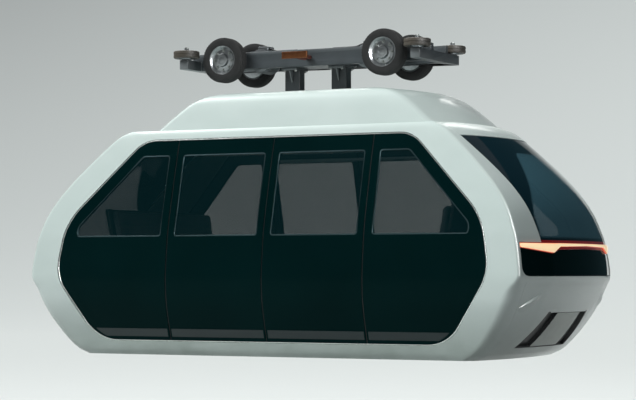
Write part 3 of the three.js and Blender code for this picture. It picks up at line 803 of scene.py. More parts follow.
# Anodised metal: satin rails, a bright line round the oval, a dim one round windows
ALUMINIUM = metal("satin_anodised_aluminium", "b7bfc0", "a3abad", 0.32, 0.06, 2, (8, 1, 1), 0.01)
BRIGHT_TRIM = metal("bright_anodised_aluminium_strip", "e6eae8", "d6dbd9", 0.26, 0.05, 2, (8, 1, 1), 0.01)
BEAD = metal("dark_anodised_aluminium", "4c6064", "3f5054", 0.42, 0.06, 2, (8, 1, 1), 0.01)
# A pale satin centre in the bumper's dark recess
INSERT = plastic("satin_grey_asa_insert", "b3bdb6", "a2aca5", 0.38, 4, 0.05)
# A slightly duller strip along the glossy doors' feet
SATIN_STRIP = plastic("satin_black_scuff_film", "0c2022", "08191b", 0.4, 6, 0.03)
# Bare metal: grainy castings, fine turning marks, dull bolts, a coppery worn shoe
CASTING = metal("sand_cast_aluminium", "8b9092", "6d7275", 0.52, 0.1, 3, depth_mm=0.25)
MACHINED = metal("turned_steel", "a4a8aa", "8a8e90", 0.3, 0.08, 2, (1, 1, 6), 0.02)
ZINC = metal("zinc_plated_steel", "a9adab", "8f9492", 0.38, 0.08, 8)
SHOE = metal("copper_graphite_shoe", "8a5a3c", "5d3b28", 0.42, 0.1, 3, (12, 1, 1), 0.06)
# Dark grey coats, paler where edges wear
STEEL = coated_steel("powder_coated_steel_frame", "4d5357", "3b4043", "8b9092")
HANGER_STEEL = coated_steel("powder_coated_steel_hanger", "3c4144", "2d3133", "8b9092")
# Dusty black tyres, deep black seals and a brownish tread on the guide wheels
TYRE = rubber("tyre_rubber", "131415", "2c2d2d")
SEAL = rubber("epdm_seal_rubber", "0a0c0d", "15181a", 0.6)
URETHANE = rubber("cast_polyurethane_tread", "3f3a34", "575148", 0.55)
FABRIC = moquette()
# A darker, smoother line round each pad
PIPING = rubber("vinyl_seat_piping", "171c1e", "262c2f", 0.5)
# A grey floor with paler flecks
VINYL = speckled("flecked_sheet_vinyl", "3a4143", "5a6265", 6, 0.55)
# Brown-red moulded arms and black leads
INSULATOR = plastic("glass_filled_nylon_insulator", "6b2f22", "50231a", 0.45, 3, 0.1)
CABLE = rubber("cable_jacket", "0e0f10", "1d1f20", 0.5)
# An even pale glow overhead
CABIN_LIGHT = lamp_lens("opal_ceiling_diffuser", "f2f4f0", "dfe4e2", 0.9)


# Cabin shell

def pillar_inner(height):
    """How near the middle plane the side ring reaches round the end at a height."""
    width = half_width(height)
    if height > LAMP_TOP:
        return SCREEN_HALF
    if height < BUMPER_TOP:
        return width - BUMPER_MARGIN
    drop = max(0.0, BUMPER_TOP + LAMP_CORNER - height)
    return width - LAMP_MARGIN - (LAMP_CORNER - math.sqrt(max(0.0, LAMP_CORNER**2 - drop**2)))


def ring_columns():
    """The ring's sections, as rays from the glazing's middle: angle, and level or top or bottom."""
    centre = Vector((0, MIDDLE_HEIGHT))
    upright = math.pi / 2
    top_corner, bottom_corner = [math.atan2(h - centre.y, corner_start(h)) for h in (ROOF_TOP, 0.0)]
    arc = 56
    # The pillar steps from screen to lamp panel between two levels this close
    step = 1e-5
    levels = [ROOF_TOP - (ROOF_TOP - LAMP_TOP) * k / 30 for k in range(30)] + [LAMP_TOP + step]
    levels += [LAMP_TOP - step - (LAMP_TOP - BUMPER_TOP - LAMP_CORNER) * k / 6 for k in range(6)]
    levels += [BUMPER_TOP + LAMP_CORNER * (1 - math.sin(upright * k / 8)) for k in range(9)]
    levels += [BUMPER_TOP * (1 - k / 18) for k in range(1, 19)]
    columns = [(upright + (top_corner - upright) * k / arc, "top") for k in range(arc + 1)]
    columns += [(math.atan2(level - centre.y, corner_start(level)), level) for level in levels]
    columns += [(bottom_corner - (upright + bottom_corner) * k / arc, "bottom") for k in range(arc + 1)]
    return centre, columns


def side_ring(side_name, side):
    """The white ring round the side glazing, with the end pillars that it turns into."""
    centre, columns = ring_columns()
    oval = holds(rounded(OVAL, 14))
    across, turn, beyond = 10, 8, 8
    lip = 0.055  # how far the ring turns in under the floor

    def body(point):
        return 0 <= point.y <= ROOF_TOP and abs(point.x) <= corner_start(point.y)

    sections = []
    for angle, kind in columns:
        direction = Vector((math.cos(angle), math.sin(angle)))
        near = reach(centre, direction, oval) + 0.001
        far = reach(centre, direction, body)
        section = [centre + direction * (near + (far - near) * k / across) for k in range(across + 1)]
        placed = [on_side(1, p.x, p.y) for p in section]
        if kind in ("top", "bottom"):
            level = ROOF_TOP if kind == "top" else 0.0
            width = half_width(level)
            inner = SCREEN_HALF if kind == "top" else width - lip
            for k in range(1, turn + beyond + 1):
                y = width + (inner - width) * k / (turn + beyond)
                placed.append(Vector((section[-1].x, y, UNDERSIDE + level)))
        else:
            width, radius, inner = half_width(kind), corner_radius(kind), pillar_inner(kind)
            reached = min(radius, width - inner)
            full = math.asin(1 - reached / radius) if reached < radius else 0.0
            for k in range(1, turn + 1):
                lean = math.pi / 2 + (full - math.pi / 2) * k / turn
                placed.append(on_end(1, width - radius * (1 - math.sin(lean)), kind))
            for k in range(1, beyond + 1):
                y = width - reached + (inner - width + reached) * k / beyond
                placed.append(on_end(1, y, kind))
        sections.append(placed)

    def at(column, row):
        point = sections[column][row].copy()
        point.y *= side
        return point

    half = sheet(len(sections) - 1, across + turn + beyond, at)
    whole = half.verts[:] + half.edges[:] + half.faces[:]
    bmesh.ops.mirror(half, geom=whole, axis="X", merge_dist=1e-4)
    bmesh.ops.remove_doubles(half, verts=half.verts, dist=2e-4)
    face_outwards(half)
    piece(
        f"side_ring_{side_name}", half, [PEARL, LINING], stands_for=[f"side_frame_{side_name}"],
        wall=0.028, edge=0.0035, steps=3, lined=1,
    )


def roof_fairing():
    """The humped fairing over the hanger. Its sides carry on the sides of the ring."""
    foot, top = FAIRING[0][0], FAIRING[-1][0]
    levels = [foot + (top - foot) * k / 30 for k in range(31)]
    corner = 0.045
    flat = 0.6  # share of a quarter's columns that lies before its corner
    quarter, along = 26, 16
    half_count = 2 * quarter + along

    def quarter_point(level, share):
        # share runs from 0 at the middle of the end to 1 at the start of the straight side
        width = row_at(FAIRING, level)[2]
        if share < flat:
            y = (width - corner) * share / flat
            return end_x(FAIRING, y, level), y
        lean = (share - flat) / (1 - flat) * math.pi / 2
        y = width - corner * (1 - math.sin(lean))
        return end_x(FAIRING, y, level) - corner * (1 - math.cos(lean)), y

    def around(level, column):
        # counter-clockwise from the front's middle
        position, flip = column % (2 * half_count), 1
        if position > half_count:
            position, flip = 2 * half_count - position, -1
        if position <= quarter:
            x, y = quarter_point(level, position / quarter)
        elif position < quarter + along:
            x, y = quarter_point(level, 1.0)
            x *= 1 - 2 * (position - quarter) / along
        else:
            x, y = quarter_point(level, (half_count - position) / quarter)
            x = -x
        return Vector((x + FAIRING_SHIFT, y * flip, UNDERSIDE + level))

    tops = [0.97, 0.9, 0.75, 0.5, 0.25, 0.0]

    def at(column, row):
        if row < len(levels):
            return around(levels[row], column)
        share = tops[row - len(levels)]
        edge = around(levels[-1], column)
        crown = 0.004 * (1 - share**2)
        return Vector((FAIRING_SHIFT + (edge.x - FAIRING_SHIFT) * share, edge.y * share, edge.z + crown))

    bm = sheet(2 * half_count, len(levels) + len(tops) - 1, at)
    face_outwards(bm, (FAIRING_SHIFT, 0, UNDERSIDE + 1.9))
    piece(
        "roof_fairing_cover", bm, PEARL, stands_for=["roof_fairing"], wall=0.006,
        edge=0.002,
    )


def roof():
    """The roof between the side rings, with the header over each screen."""
    half = SCREEN_HALF - 0.0015
    header = [SCREEN_TOP + 0.002 + (ROOF_TOP - SCREEN_TOP - 0.002) * k / 8 for k in range(9)]
    across, along = 40, 30
    rows = len(header) * 2 + along - 1

    def at(column, row):
        y = -half + 2 * half * column / across
        if row < len(header):
            return on_end(1, y, header[row])
        if row >= len(header) + along:
            return on_end(-1, y, header[rows - row])
        front = on_end(1, y, ROOF_TOP)
        share = (row - len(header) + 1) / (along + 1)
        crown = 0.006 * (1 - (y / half) ** 2) * min(1, 8 * min(share, 1 - share))
        return Vector((front.x * (1 - 2 * share), y, front.z + crown))

    piece(
        "roof_skin", face_outwards(sheet(across, rows, at)), [PEARL, LINING], stands_for=["roof_panel"],
        wall=0.03, edge=0.003, lined=1,
    )


def bumper(end_name, end):
    """The lower end shell with its recess, whose inside is near black: painted shade."""
    mouth = [
        Vector((side * RECESS[f"half_{edge}"], RECESS[edge]))
        for side, edge in ((-1, "bottom"), (1, "bottom"), (1, "top"), (-1, "top"))
    ]
    centre = sum(mouth, Vector((0, 0))) / 4
    in_mouth = holds(mouth)

    def in_bumper(point):
        inner = half_width(point.y) - BUMPER_MARGIN - 0.0015
        return 0 <= point.y <= BUMPER_TOP - 0.002 and abs(point.x) <= inner

    corners = [Vector((s * (half_width(h) - BUMPER_MARGIN), h)) for s in (-1, 1) for h in (0.0, BUMPER_TOP)]
    rays = rays_between(centre, mouth + corners, 140, in_mouth, in_bumper)
    inside, outside = 6, 22

    def at(column, row):
        direction, near, far = rays[column]
        if row <= inside:
            point = centre + direction * near * row / inside
            return on_end(end, point.x, point.y, RECESS["depth"])
        share = (row - inside - 1) / outside
        point = centre + direction * (near + (far - near) * share)
        return on_end(end, point.x, point.y)

    bm = face_outwards(sheet(len(rays), inside + 1 + outside, at, wrap=True))
    # Faces inside the recess take the near-black trim: painted shade in the slits
    for face in bm.faces:
        middle = face.calc_center_median()
        inwards = Vector((middle.y, middle.z - UNDERSIDE)).lerp(centre, 0.03)
        if in_mouth(inwards):
            face.material_index = 1
    piece(
        f"bumper_shell_{end_name}", bm, [PEARL, DARK_TRIM], stands_for=[f"bumper_{end_name}"],
        wall=0.02, edge=0.004, steps=3,
    )


def winglets(end_name, end):
    """The short blade moulded on the bumper near each corner: a crisp crest over a long lower slope."""
    start, tip = Vector((0.835, 0.405)), Vector((0.640, 0.512))
    along = (tip - start).normalized()
    up = Vector((along.y, -along.x))
    sunk = 0.002
    # Across the blade: distance above the crest line, height over the bumper
    section = [
        (-0.085, -sunk), (-0.070, 0.001), (-0.050, 0.006), (-0.030, 0.012), (-0.012, 0.018),
        (-0.003, 0.0205), (0.001, 0.0195), (0.006, 0.011), (0.011, 0.001), (0.013, -sunk),
    ]
    columns = 36
    parts = []
    for _, side in SIDES:

        def at(column, row, side=side):
            share = column / columns
            above, rise = section[row]
            fade = math.sin(math.pi * min(1.0, 0.04 + 0.96 * share)) ** 0.7
            spot = start + (tip - start) * share + up * above * (0.35 + 0.65 * fade)
            return on_end(end, side * spot.x, spot.y, sunk - (rise + sunk) * fade)

        parts.append(capped(sheet(columns, len(section) - 1, at)))
    piece(f"bumper_winglets_{end_name}", joined(parts), PEARL, angle=60)


def bumper_insert(end_name, end):
    """The satin centre of the recess between the two slits, with three shallow ribs."""
    low, high = RECESS["bottom"] + 0.004, RECESS["top"] - 0.004
    steps = 24

    def at(column, row):
        height = low + (high - low) * row / steps
        lean = (height - low) / (high - low) * 0.035
        y = (INSERT_HALF + 0.015 - lean) * (-1 + 2 * column / steps)
        rib = 0.0025 * math.cos(math.tau * 3 * row / steps) ** 8
        return on_end(end, y, height, 0.005 - rib)

    # The insert's edges take the near-black trim: painted shade where they show in the slits
    piece(
        f"bumper_insert_{end_name}_grille", face_outwards(sheet(steps, steps, at)), [INSERT, DARK_TRIM],
        stands_for=[f"bumper_insert_{end_name}"], wall=0.028, edge=0.002, rim=1,
    )


def lamp_edge(y):
    """Height of the light bar's lower edge."""
    far = abs(y)
    for (y0, h0), (y1, h1) in zip(LAMP_EDGE, LAMP_EDGE[1:]):
        if far <= y1:
            return h0 + (h1 - h0) * (far - y0) / (y1 - y0)
    return LAMP_EDGE[-1][1]


def lamp_panel(end_name, end):
    """The black gloss panel under the light bar, with rounded lower corners."""
    gap = 0.003
    columns = 80
    curved, straight = 10, 10  # rows beside the rounded corners, and above them
    foot = BUMPER_TOP + LAMP_CORNER

    def at(column, row):
        share = -1 + 2 * column / columns
        if row <= curved:
            height = BUMPER_TOP + gap + LAMP_CORNER * (1 - math.cos(math.pi / 2 * row / curved))
        else:
            top = lamp_edge(share * (half_width(LAMP_TOP) - LAMP_MARGIN)) - 0.004
            height = foot + gap + (top - foot - gap) * (row - curved) / straight
        y = share * (pillar_inner(height - gap) - gap)
        return on_end(end, y, height, 0.005)

    piece(
        f"lamp_panel_{end_name}_gloss", face_outwards(sheet(columns, curved + straight, at)), PANEL,
        stands_for=[f"lamp_panel_{end_name}"], wall=0.03, edge=0.002,
    )


def light_bar(end_name, end, lens):
    """The thin lens across the end, between two reveals. Each outer half is a wedge to the corner."""
    tip = half_width(LAMP_TOP) - LAMP_MARGIN - 0.003
    columns, rows = 120, 16

    def at(column, row):
        y = tip * (-1 + 2 * column / columns)
        low, high = lamp_edge(y), LAMP_TOP - 0.006
        taper = 1 - ramp(0.93, 1.0, abs(y) / tip) * 0.75
        turn = math.tau * row / rows
        rise = math.sin(turn)
        # Squared-off lens section: proud in front, its back sunk in the panel
        face = math.copysign(abs(math.cos(turn)) ** 0.45, math.cos(turn))
        height = (low + high) / 2 + (high - low) / 2 * math.copysign(abs(rise) ** 0.6, rise)
        depth = -0.020 * taper * face if face > 0 else -0.03 * face
        return on_end(end, y, height, depth)

    def across(column, row):
        return max(0.0, math.cos(math.tau * row / rows)) ** 0.8

    piece(
        f"light_bar_{end_name}_lens", capped(sheet(columns, rows, at, values={"across": across})), lens,
        stands_for=[f"light_bar_{end_name}"],
    )

    def reveal(low_of, high_of, depth):
        def place(column, row):
            y = tip * (-1 + 2 * column / 80)
            return on_end(end, y, low_of(y) + (high_of(y) - low_of(y)) * row / 3, depth)

        return face_outwards(sheet(80, 3, place))

    def lower_edge(y):
        return lamp_edge(y) - 0.020 * (1 - ramp(0.45, 0.60, abs(y))) - 0.002

    strips = [
        reveal(lambda y: LAMP_TOP - 0.006, lambda y: LAMP_TOP + 0.016, 0.0015),
        reveal(lower_edge, lamp_edge, 0.0005),
    ]
    # At the tail the strips glow faintly: painted light from the lamp beside them
    shade = RED_REFLECTOR_GLOW if end < 0 else DARK_TRIM
    piece(f"light_bar_{end_name}_reveal", joined(strips), shade, wall=0.01, edge=0.0015)


def frit(y, height):
    """1 in the fired black border of a screen and 0 in its clear area."""
    foot = 0.945
    # Edge of the clear area: distance from the middle, height
    border = [
        (0.0, 1.615), (0.19, 1.612), (0.235, 1.590), (0.345, 1.475), (0.450, 1.360), (0.562, 1.235),
        (0.640, 1.120), (0.662, 0.940),
    ]
    if height > border[0][1]:
        return 1.0
    limit = border[-1][0]
    for (y0, h0), (y1, h1) in zip(border, border[1:]):
        if h1 <= height <= h0:
            limit = y0 + (y1 - y0) * (h0 - height) / (h0 - h1)
    return ramp(-0.012, 0.012, max(abs(y) - limit, foot - height))


def screen(end_name, end):
    """The bonded screen between the end pillars."""
    half = SCREEN_HALF - 0.003
    low, high = LAMP_TOP + 0.014, SCREEN_TOP - 0.003
    columns, rows = 130, 90

    def spot(column, row):
        return half * (-1 + 2 * column / columns), low + (high - low) * row / rows

    def at(column, row):
        y, height = spot(column, row)
        return on_end(end, y, height, 0.004)

    bm = sheet(columns, rows, at, values={"frit": lambda c, r: frit(*spot(c, r))})
    piece(
        f"screen_{end_name}_glass", face_outwards(bm), SCREEN, stands_for=[f"screen_{end_name}"],
        wall=0.012,
    )


# Side glazing

def side_glazing(side_name, side):
    """Fixed panels, door leaves, their glass with its beads, and the strips at their feet."""
    inset = offset_outline(rounded(OVAL, 14), -0.012)
    in_oval = holds(inset)
    inner_edge = FIXED_EDGE + 0.002
    start = 0.9  # a level well inside the oval
    foot, head = [start + s * reach(Vector((inner_edge, start)), Vector((0, s)), in_oval) for s in (-1, 1)]
    clipped = [p for p in inset if p.x > FIXED_EDGE + GAP]
    fixed = [Vector((inner_edge, foot))] + clipped + [Vector((inner_edge, head))]
    windows = {"fixed": rounded(FIXED_WINDOW, 8), "leaf": rounded(LEAF_WINDOW, 8)}
    # Window bead: distance outside the window's outline, depth behind the panel's face
    bead = [
        (-0.009, 0.0), (-0.008, -0.0012), (-0.002, -0.0012), (0.0005, 0.0), (0.0005, 0.012), (-0.009, 0.012),
    ]
    for end_name, end in ENDS:
        key = f"{side_name}_{end_name}"

        def place(x, height, depth):
            return on_side(side, end * x, height, PANEL_DEPTH + depth)

        for node, kind, outer in (("side_panel", "fixed", fixed), ("door_leaf", "leaf", rounded(LEAF, 2))):
            skin = face_outwards(frame_sheet(windows[kind], outer, place, 14))
            piece(
                f"{node}_{key}_gloss", skin, [PANEL, INNER_TRIM], stands_for=[f"{node}_{key}"],
                wall=0.036, edge=0.002, lined=1,
            )
        for node, kind in (("side_glass", "fixed"), ("door_glass", "leaf")):
            glass = face_outwards(pane(offset_outline(windows[kind], -0.007), place, 16, 24))
            piece(
                f"{node}_{key}_pane", glass, GLASS, stands_for=[f"{node}_{key}"],
                wall=0.008,
            )
            piece(f"{node}_{key}_bead", moulding(windows[kind], bead, place), BEAD)
        kick_plate(key, side, end, in_oval)


def kick_plate(key, side, end, in_oval):
    """The satin strip along the foot of a door leaf and of the fixed panel beside it."""
    low, high = 0.150, 0.215
    columns, rows = 24, 4

    def strip(near, far_of):
        def at(column, row):
            height = low + (high - low) * row / rows
            x = near + (far_of(height) - near) * column / columns
            return on_side(side, end * x, height, PANEL_DEPTH - 0.0012)

        return face_outwards(sheet(columns, rows, at))

    def oval_reach(height):
        return reach(Vector((FIXED_EDGE, height)), Vector((1, 0)), in_oval) + FIXED_EDGE - 0.035

    parts = [strip(0.020, lambda height: LEAF[1][0] - 0.014), strip(FIXED_EDGE + 0.018, oval_reach)]
    piece(f"kick_plates_{key}", joined(parts), SATIN_STRIP, wall=0.003, edge=0.001)


def oval_trim(side_name, side):
    """A bright strip just inside the ring, on a dark seal that fills the joint."""
    oval = rounded(OVAL, 14)

    def place(x, height, depth):
        return on_side(side, x, height, depth)

    # Sections: distance outside the oval, depth behind the ring's surface
    half_round = [
        (-0.0125, 0.010), (-0.0125, 0.006), (-0.0112, 0.0032), (-0.0088, 0.0018), (-0.0062, 0.0018),
        (-0.0040, 0.0032), (-0.0028, 0.006), (-0.0028, 0.010),
    ]
    joint = [(-0.0125, 0.011), (-0.0125, 0.0085), (0.002, 0.0085), (0.002, 0.03), (-0.0125, 0.03)]
    piece(f"oval_trim_{side_name}", moulding(oval, half_round, place), BRIGHT_TRIM)
    piece(f"oval_seal_{side_name}", moulding(oval, joint, place), SEAL)


def door_seals(side_name, side):
    """Finger-guard seals in the upright joints between leaves and fixed panels."""
    foot, head, radius = 0.125, 1.760, 0.006
    sides, rows = 8, 40
    parts = []
    for x in (0.0, FIXED_EDGE - 0.003, -FIXED_EDGE + 0.003):

        def at(column, row, x=x):
            turn = math.tau * column / sides
            depth = 0.017 + radius * math.cos(turn)
            return on_side(side, x + radius * math.sin(turn), foot + (head - foot) * row / rows, depth)

        parts.append(capped(sheet(sides, rows, at, wrap=True)))
    piece(f"door_seals_{side_name}", joined(parts), SEAL)


for name, sign in SIDES:
    side_ring(name, sign)
    side_glazing(name, sign)
    oval_trim(name, sign)
    door_seals(name, sign)
roof_fairing()
roof()
for name, sign in ENDS:
    bumper(name, sign)
    winglets(name, sign)
    bumper_insert(name, sign)
    lamp_panel(name, sign)
    light_bar(name, sign, FRONT_LAMP if sign > 0 else REAR_LAMP)
    screen(name, sign)


# Cabin inside

SEAT = {
    "half": 0.780, "top": 0.500, "pad": 0.100, "front": 0.850, "rear": 1.345,
    "back_top": 1.190, "rake": 0.2, "back_pad": 0.095,
}


def back_x(height):
    """Front face of the backrest at a height."""
    return SEAT["rear"] + SEAT["rake"] * (height - SEAT["top"])


def cushion_form(width, depth, thick, crown, pinch):
    """A crowned pad lying flat, whose sides pull in between the corners."""
    bm = bmesh.new()
    bmesh.ops.create_cube(bm, size=1.0)
    bmesh.ops.subdivide_edges(bm, edges=bm.edges, cuts=23, use_grid_fill=True)
    for vert in bm.verts:
        u, v, w = vert.co.x * 2, vert.co.y * 2, vert.co.z * 2
        round_off = 1 - 0.055 * abs(w) ** 3
        x = u * depth / 2 * (1 - pinch * (1 - v * v)) * round_off
        y = v * width / 2 * (1 - pinch * 0.7 * (1 - u * u)) * round_off
        fullness = (1 - u**4) * (1 - v**4)
        z = w * thick / 2 * (1 - 0.28 * (1 - fullness))
        if w > 0:
            z += crown * w * fullness
        vert.co = (x, y, z)
    bmesh.ops.smooth_vert(bm, verts=bm.verts, factor=0.5, use_axis_x=True, use_axis_y=True, use_axis_z=True)
    return bm


def swell(made, most):
    """Puffs a pad with cloth pressure, with no point moving further than most, then applies it."""
    scene = bpy.context.scene
    last_frame = 20
    rest = [v.co.copy() for v in made.data.vertices]
    cloth = made.modifiers.new("cloth", "CLOTH")
    cloth.settings.use_pressure = True
    cloth.settings.uniform_pressure_force = 4
    cloth.settings.effector_weights.gravity = 0
    cloth.point_cache.frame_end = last_frame
    for number in range(1, last_frame + 1):
        scene.frame_set(number)
    puffed = made.evaluated_get(bpy.context.evaluated_depsgraph_get()).to_mesh()
    moved = []
    for before, vert in zip(rest, puffed.vertices):
        push = vert.co - before
        moved.append(before + push * min(1.0, most / max(push.length, 1e-6)))
    made.modifiers.remove(cloth)
    for vert, place in zip(made.data.vertices, moved):
        vert.co = place
    scene.frame_set(1)


def pad_mesh(name, bm, most):
    """Remeshes a pad evenly, swells it and gives back its mesh."""
    mesh = bpy.data.meshes.new(name)
    bm.to_mesh(mesh)
    bm.free()
    made = bpy.data.objects.new(name, mesh)
    bpy.context.scene.collection.objects.link(made)
    remesh = made.modifiers.new("even", "REMESH")
    remesh.mode = "VOXEL"
    remesh.voxel_size = 0.012
    even = bpy.data.meshes.new_from_object(made.evaluated_get(bpy.context.evaluated_depsgraph_get()))
    made.modifiers.clear()
    made.data = even
    swell(made, most)
    result = made.data
    bpy.data.objects.remove(made)
    return result


def sew(mesh, depth, channels, sink=0.009, spread=0.011):
    """Draws in the sewn channels across a pad's upper face."""
    for vert in mesh.vertices:
        upper = ramp(0.0, 0.03, vert.co.z)
        for place in channels:
            vert.co.z -= upper * sink * math.exp(-(((vert.co.x - place * depth / 2) / spread) ** 2))
    return mesh


def piping(mesh, width, depth, level, radius=0.0035):
    """The welt sewn round a pad's upper edge, laid on the puffed surface."""
    bm = bmesh.new()
    bm.from_mesh(mesh)
    surface = BVHTree.FromBMesh(bm)
    bm.free()
    count, sides = 120, 8
    points = []
    for k in range(count):
        turn = math.tau * k / count
        u = math.copysign(abs(math.cos(turn)) ** 0.4, math.cos(turn))
        v = math.copysign(abs(math.sin(turn)) ** 0.4, math.sin(turn))
        start = Vector((u * depth * 0.8, v * width * 0.8, level))
        points.append(surface.ray_cast(start, Vector((-u * depth, -v * width, 0)).normalized())[0])

    def at(column, row):
        point = points[row % count]
        along = (points[(row + 1) % count] - points[row % count - 1]).normalized()
        out = along.cross(Vector((0, 0, 1))).normalized()
        turn = math.tau * column / sides
        return point + out * (math.cos(turn) * radius) + out.cross(along) * (math.sin(turn) * radius)

    welt = sheet(sides, count, at, wrap=True)
    bmesh.ops.recalc_face_normals(welt, faces=welt.faces)
    return welt


def seats():
    """Two padded benches that face each other, each with two seats and two backs, on moulded shells."""
    gap = 0.012
    width = SEAT["half"] - gap
    deep = back_x(SEAT["top"]) - SEAT["front"] - 0.01
    tall = (SEAT["back_top"] - SEAT["top"] + 0.045) / math.cos(math.atan(SEAT["rake"]))
    # A pad starts thinner than its place and is puffed by no more than this
    base_thick, back_thick = SEAT["pad"] * 0.86, SEAT["back_pad"] * 0.8
    most = 0.012
    base = pad_mesh("seat_pad", cushion_form(width, deep, base_thick, 0.012, 0.012), most)
    back = pad_mesh("back_pad", cushion_form(width, tall, back_thick, 0.012, 0.010), most)
    sew(base, deep, (-0.35, 0.25))
    sew(back, tall, (-0.3, 0.2, 0.62))
    welt_at = 0.33  # height of the welt over a pad's middle, as a share of its thickness
    welts = {
        "base": piping(base, width, deep, base_thick * welt_at),
        "back": piping(back, width, tall, back_thick * welt_at),
    }
    lean = math.pi / 2 - math.atan(SEAT["rake"])
    base_height = SEAT["top"] - SEAT["pad"] / 2
    back_height = (SEAT["top"] + SEAT["back_top"]) / 2
    back_place = back_x(back_height - 0.02) + SEAT["back_pad"] / 2
    # kind, mesh, tilt, and the middle's x and height
    spots = (
        ("base", base, Matrix.Identity(4), SEAT["front"] + deep / 2, base_height - 0.006),
        ("back", back, Matrix.Rotation(-lean, 4, "Y"), back_place, back_height - 0.012),
    )
    for end_name, end in ENDS:
        sewn = []
        for side_name, side in SIDES:
            for kind, mesh, tilt, x, height in spots:
                bm = bmesh.new()
                bm.from_mesh(mesh)
                place = Matrix.Translation((x, side * (width + gap) / 2, UNDERSIDE + height)) @ tilt
                welt = welts[kind].copy()
                sewn.append(welt)
                for part in (bm, welt):
                    bmesh.ops.transform(part, matrix=place, verts=part.verts)
                    if end < 0:
                        bmesh.ops.scale(part, vec=(-1, 1, 1), verts=part.verts)
                        bmesh.ops.recalc_face_normals(part, faces=part.faces)
                name = f"seat_{kind}_{end_name}_{side_name}"
                stands = [f"seat_cushion_{end_name}"] if (kind, side) == ("base", 1) else []
                pad = piece(name, bm, FABRIC, stands_for=stands, angle=80)
                smooth = pad.modifiers.new("smooth", "SUBSURF")
                smooth.levels = smooth.render_levels = 1
        piece(f"seat_piping_{end_name}", joined(sewn), PIPING, angle=80)
        seat_shell(end_name, end)


def seat_shell(end_name, end):
    """The moulded bench under and behind the pads: plinth, raked back and a rolled top lip."""
    foot, lip = FLOOR_TOP + 0.001, SEAT["back_top"] + 0.012
    pad_foot = SEAT["top"] - SEAT["pad"] - 0.002
    thick = 0.026

    def behind(height):
        return back_x(height) + SEAT["back_pad"] + 0.002

    section = [
        (0.930, foot), (0.925, foot + 0.05), (0.905, 0.20), (0.880, 0.30), (0.868, pad_foot - 0.03),
        (0.872, pad_foot - 0.008), (0.885, pad_foot), (1.1, pad_foot), (behind(pad_foot) - 0.02, pad_foot),
        (behind(pad_foot) - 0.004, pad_foot + 0.012), (behind(0.6), 0.6), (behind(0.8), 0.8),
        (behind(1.0), 1.0), (behind(lip) - 0.004, lip - 0.012), (behind(lip), lip),
        (behind(lip) + 0.014, lip + 0.003), (behind(lip) + thick, lip - 0.008), (behind(1.0) + thick, 1.0),
        (behind(0.6) + thick, 0.6), (behind(foot) + thick, foot),
    ]

    def at(column, row):
        x, height = section[column]
        return Vector((end * x, SEAT["half"] * (-1 + 2 * row / 24), UNDERSIDE + height))

    piece(
        f"seat_shell_{end_name}_moulding", capped(sheet(len(section), 24, at, wrap=True)), SHELL_ABS,
        stands_for=[f"seat_shell_{end_name}"], edge=0.004,
    )


def plan_sheet(height, inset, along, across, lift=None):
    """A level sheet that fills the cabin's plan at a height, some way in from its sides."""

    def at(column, row):
        y = (half_width(height) - inset) * (-1 + 2 * row / across)
        end = rounded_x(BODY, y, height, SOFT_CORNER) - inset
        x = end * (-1 + 2 * column / along)
        return Vector((x, y, UNDERSIDE + height + (lift(x, y) if lift else 0.0)))

    return sheet(along, across, at)


def underfloor():
    """Underfloor shell with its service panels, their bolts and the two long skids."""
    under = plan_sheet(0.0, 0.0215, 80, 24, lambda x, y: 0.006 if abs(y) > 0.74 else 0.0)
    piece(
        "underfloor_shell", face_outwards(under), GUARD, stands_for=["floor_pan"],
        wall=0.012, edge=0.002,
    )
    sunk = UNDERSIDE + 0.004
    plates, heads = [], []
    for x in (-1.15, -0.39, 0.39, 1.15):
        plates.append(block((x - 0.34, -0.42, UNDERSIDE - 0.004), (x + 0.34, 0.42, sunk), 0.003))
        heads += [Vector((x + dx, y, UNDERSIDE - 0.004)) for dx in (-0.31, 0.0, 0.31) for y in (-0.39, 0.39)]
    for y in (-0.60, 0.60):
        plates.append(block((-1.5, y - 0.03, UNDERSIDE - 0.006), (1.5, y + 0.03, sunk), 0.005, 3))
    piece("underfloor_plates", joined(plates), GUARD)
    piece("underfloor_bolts", bolts(heads, (0, 0, -1), 0.007, 0.005), ZINC)


def end_trim(end_name, end):
    """The inner lining of an end, from the floor to the shelf under the screen."""
    # Height, and depth behind the outer skin
    steps = (
        (FLOOR_TOP + 0.001, 0.078), (0.20, 0.078), (0.42, 0.076), (0.60, 0.068), (0.80, 0.064),
        (0.895, 0.062), (0.915, 0.056), (0.925, 0.044), (0.927, 0.022),
    )

    def at(column, row):
        height, depth = steps[row]
        return on_end(end, (half_width(height) - 0.045) * (-1 + 2 * column / 60), height, depth)

    trim = face_inwards(sheet(60, len(steps) - 1, at))
    piece(f"end_trim_{end_name}", trim, INNER_TRIM, wall=0.004, edge=0.001)


def skirting():
    """The coved strip where the floor covering meets the doors."""
    half_run = 1.62
    # Depth behind the outer skin, and rise over the floor
    section = ((0.031, 0.0008), (0.064, 0.0015), (0.056, 0.012), (0.049, 0.050))
    coves = []
    for _, side in SIDES:

        def at(column, row, side=side):
            depth, rise = section[row]
            return on_side(side, half_run * (-1 + 2 * column / 24), FLOOR_TOP + rise, depth)

        coves.append(face_inwards(sheet(24, len(section) - 1, at)))
    piece("floor_skirting", joined(coves), SHELL_ABS, wall=0.003, edge=0.001)


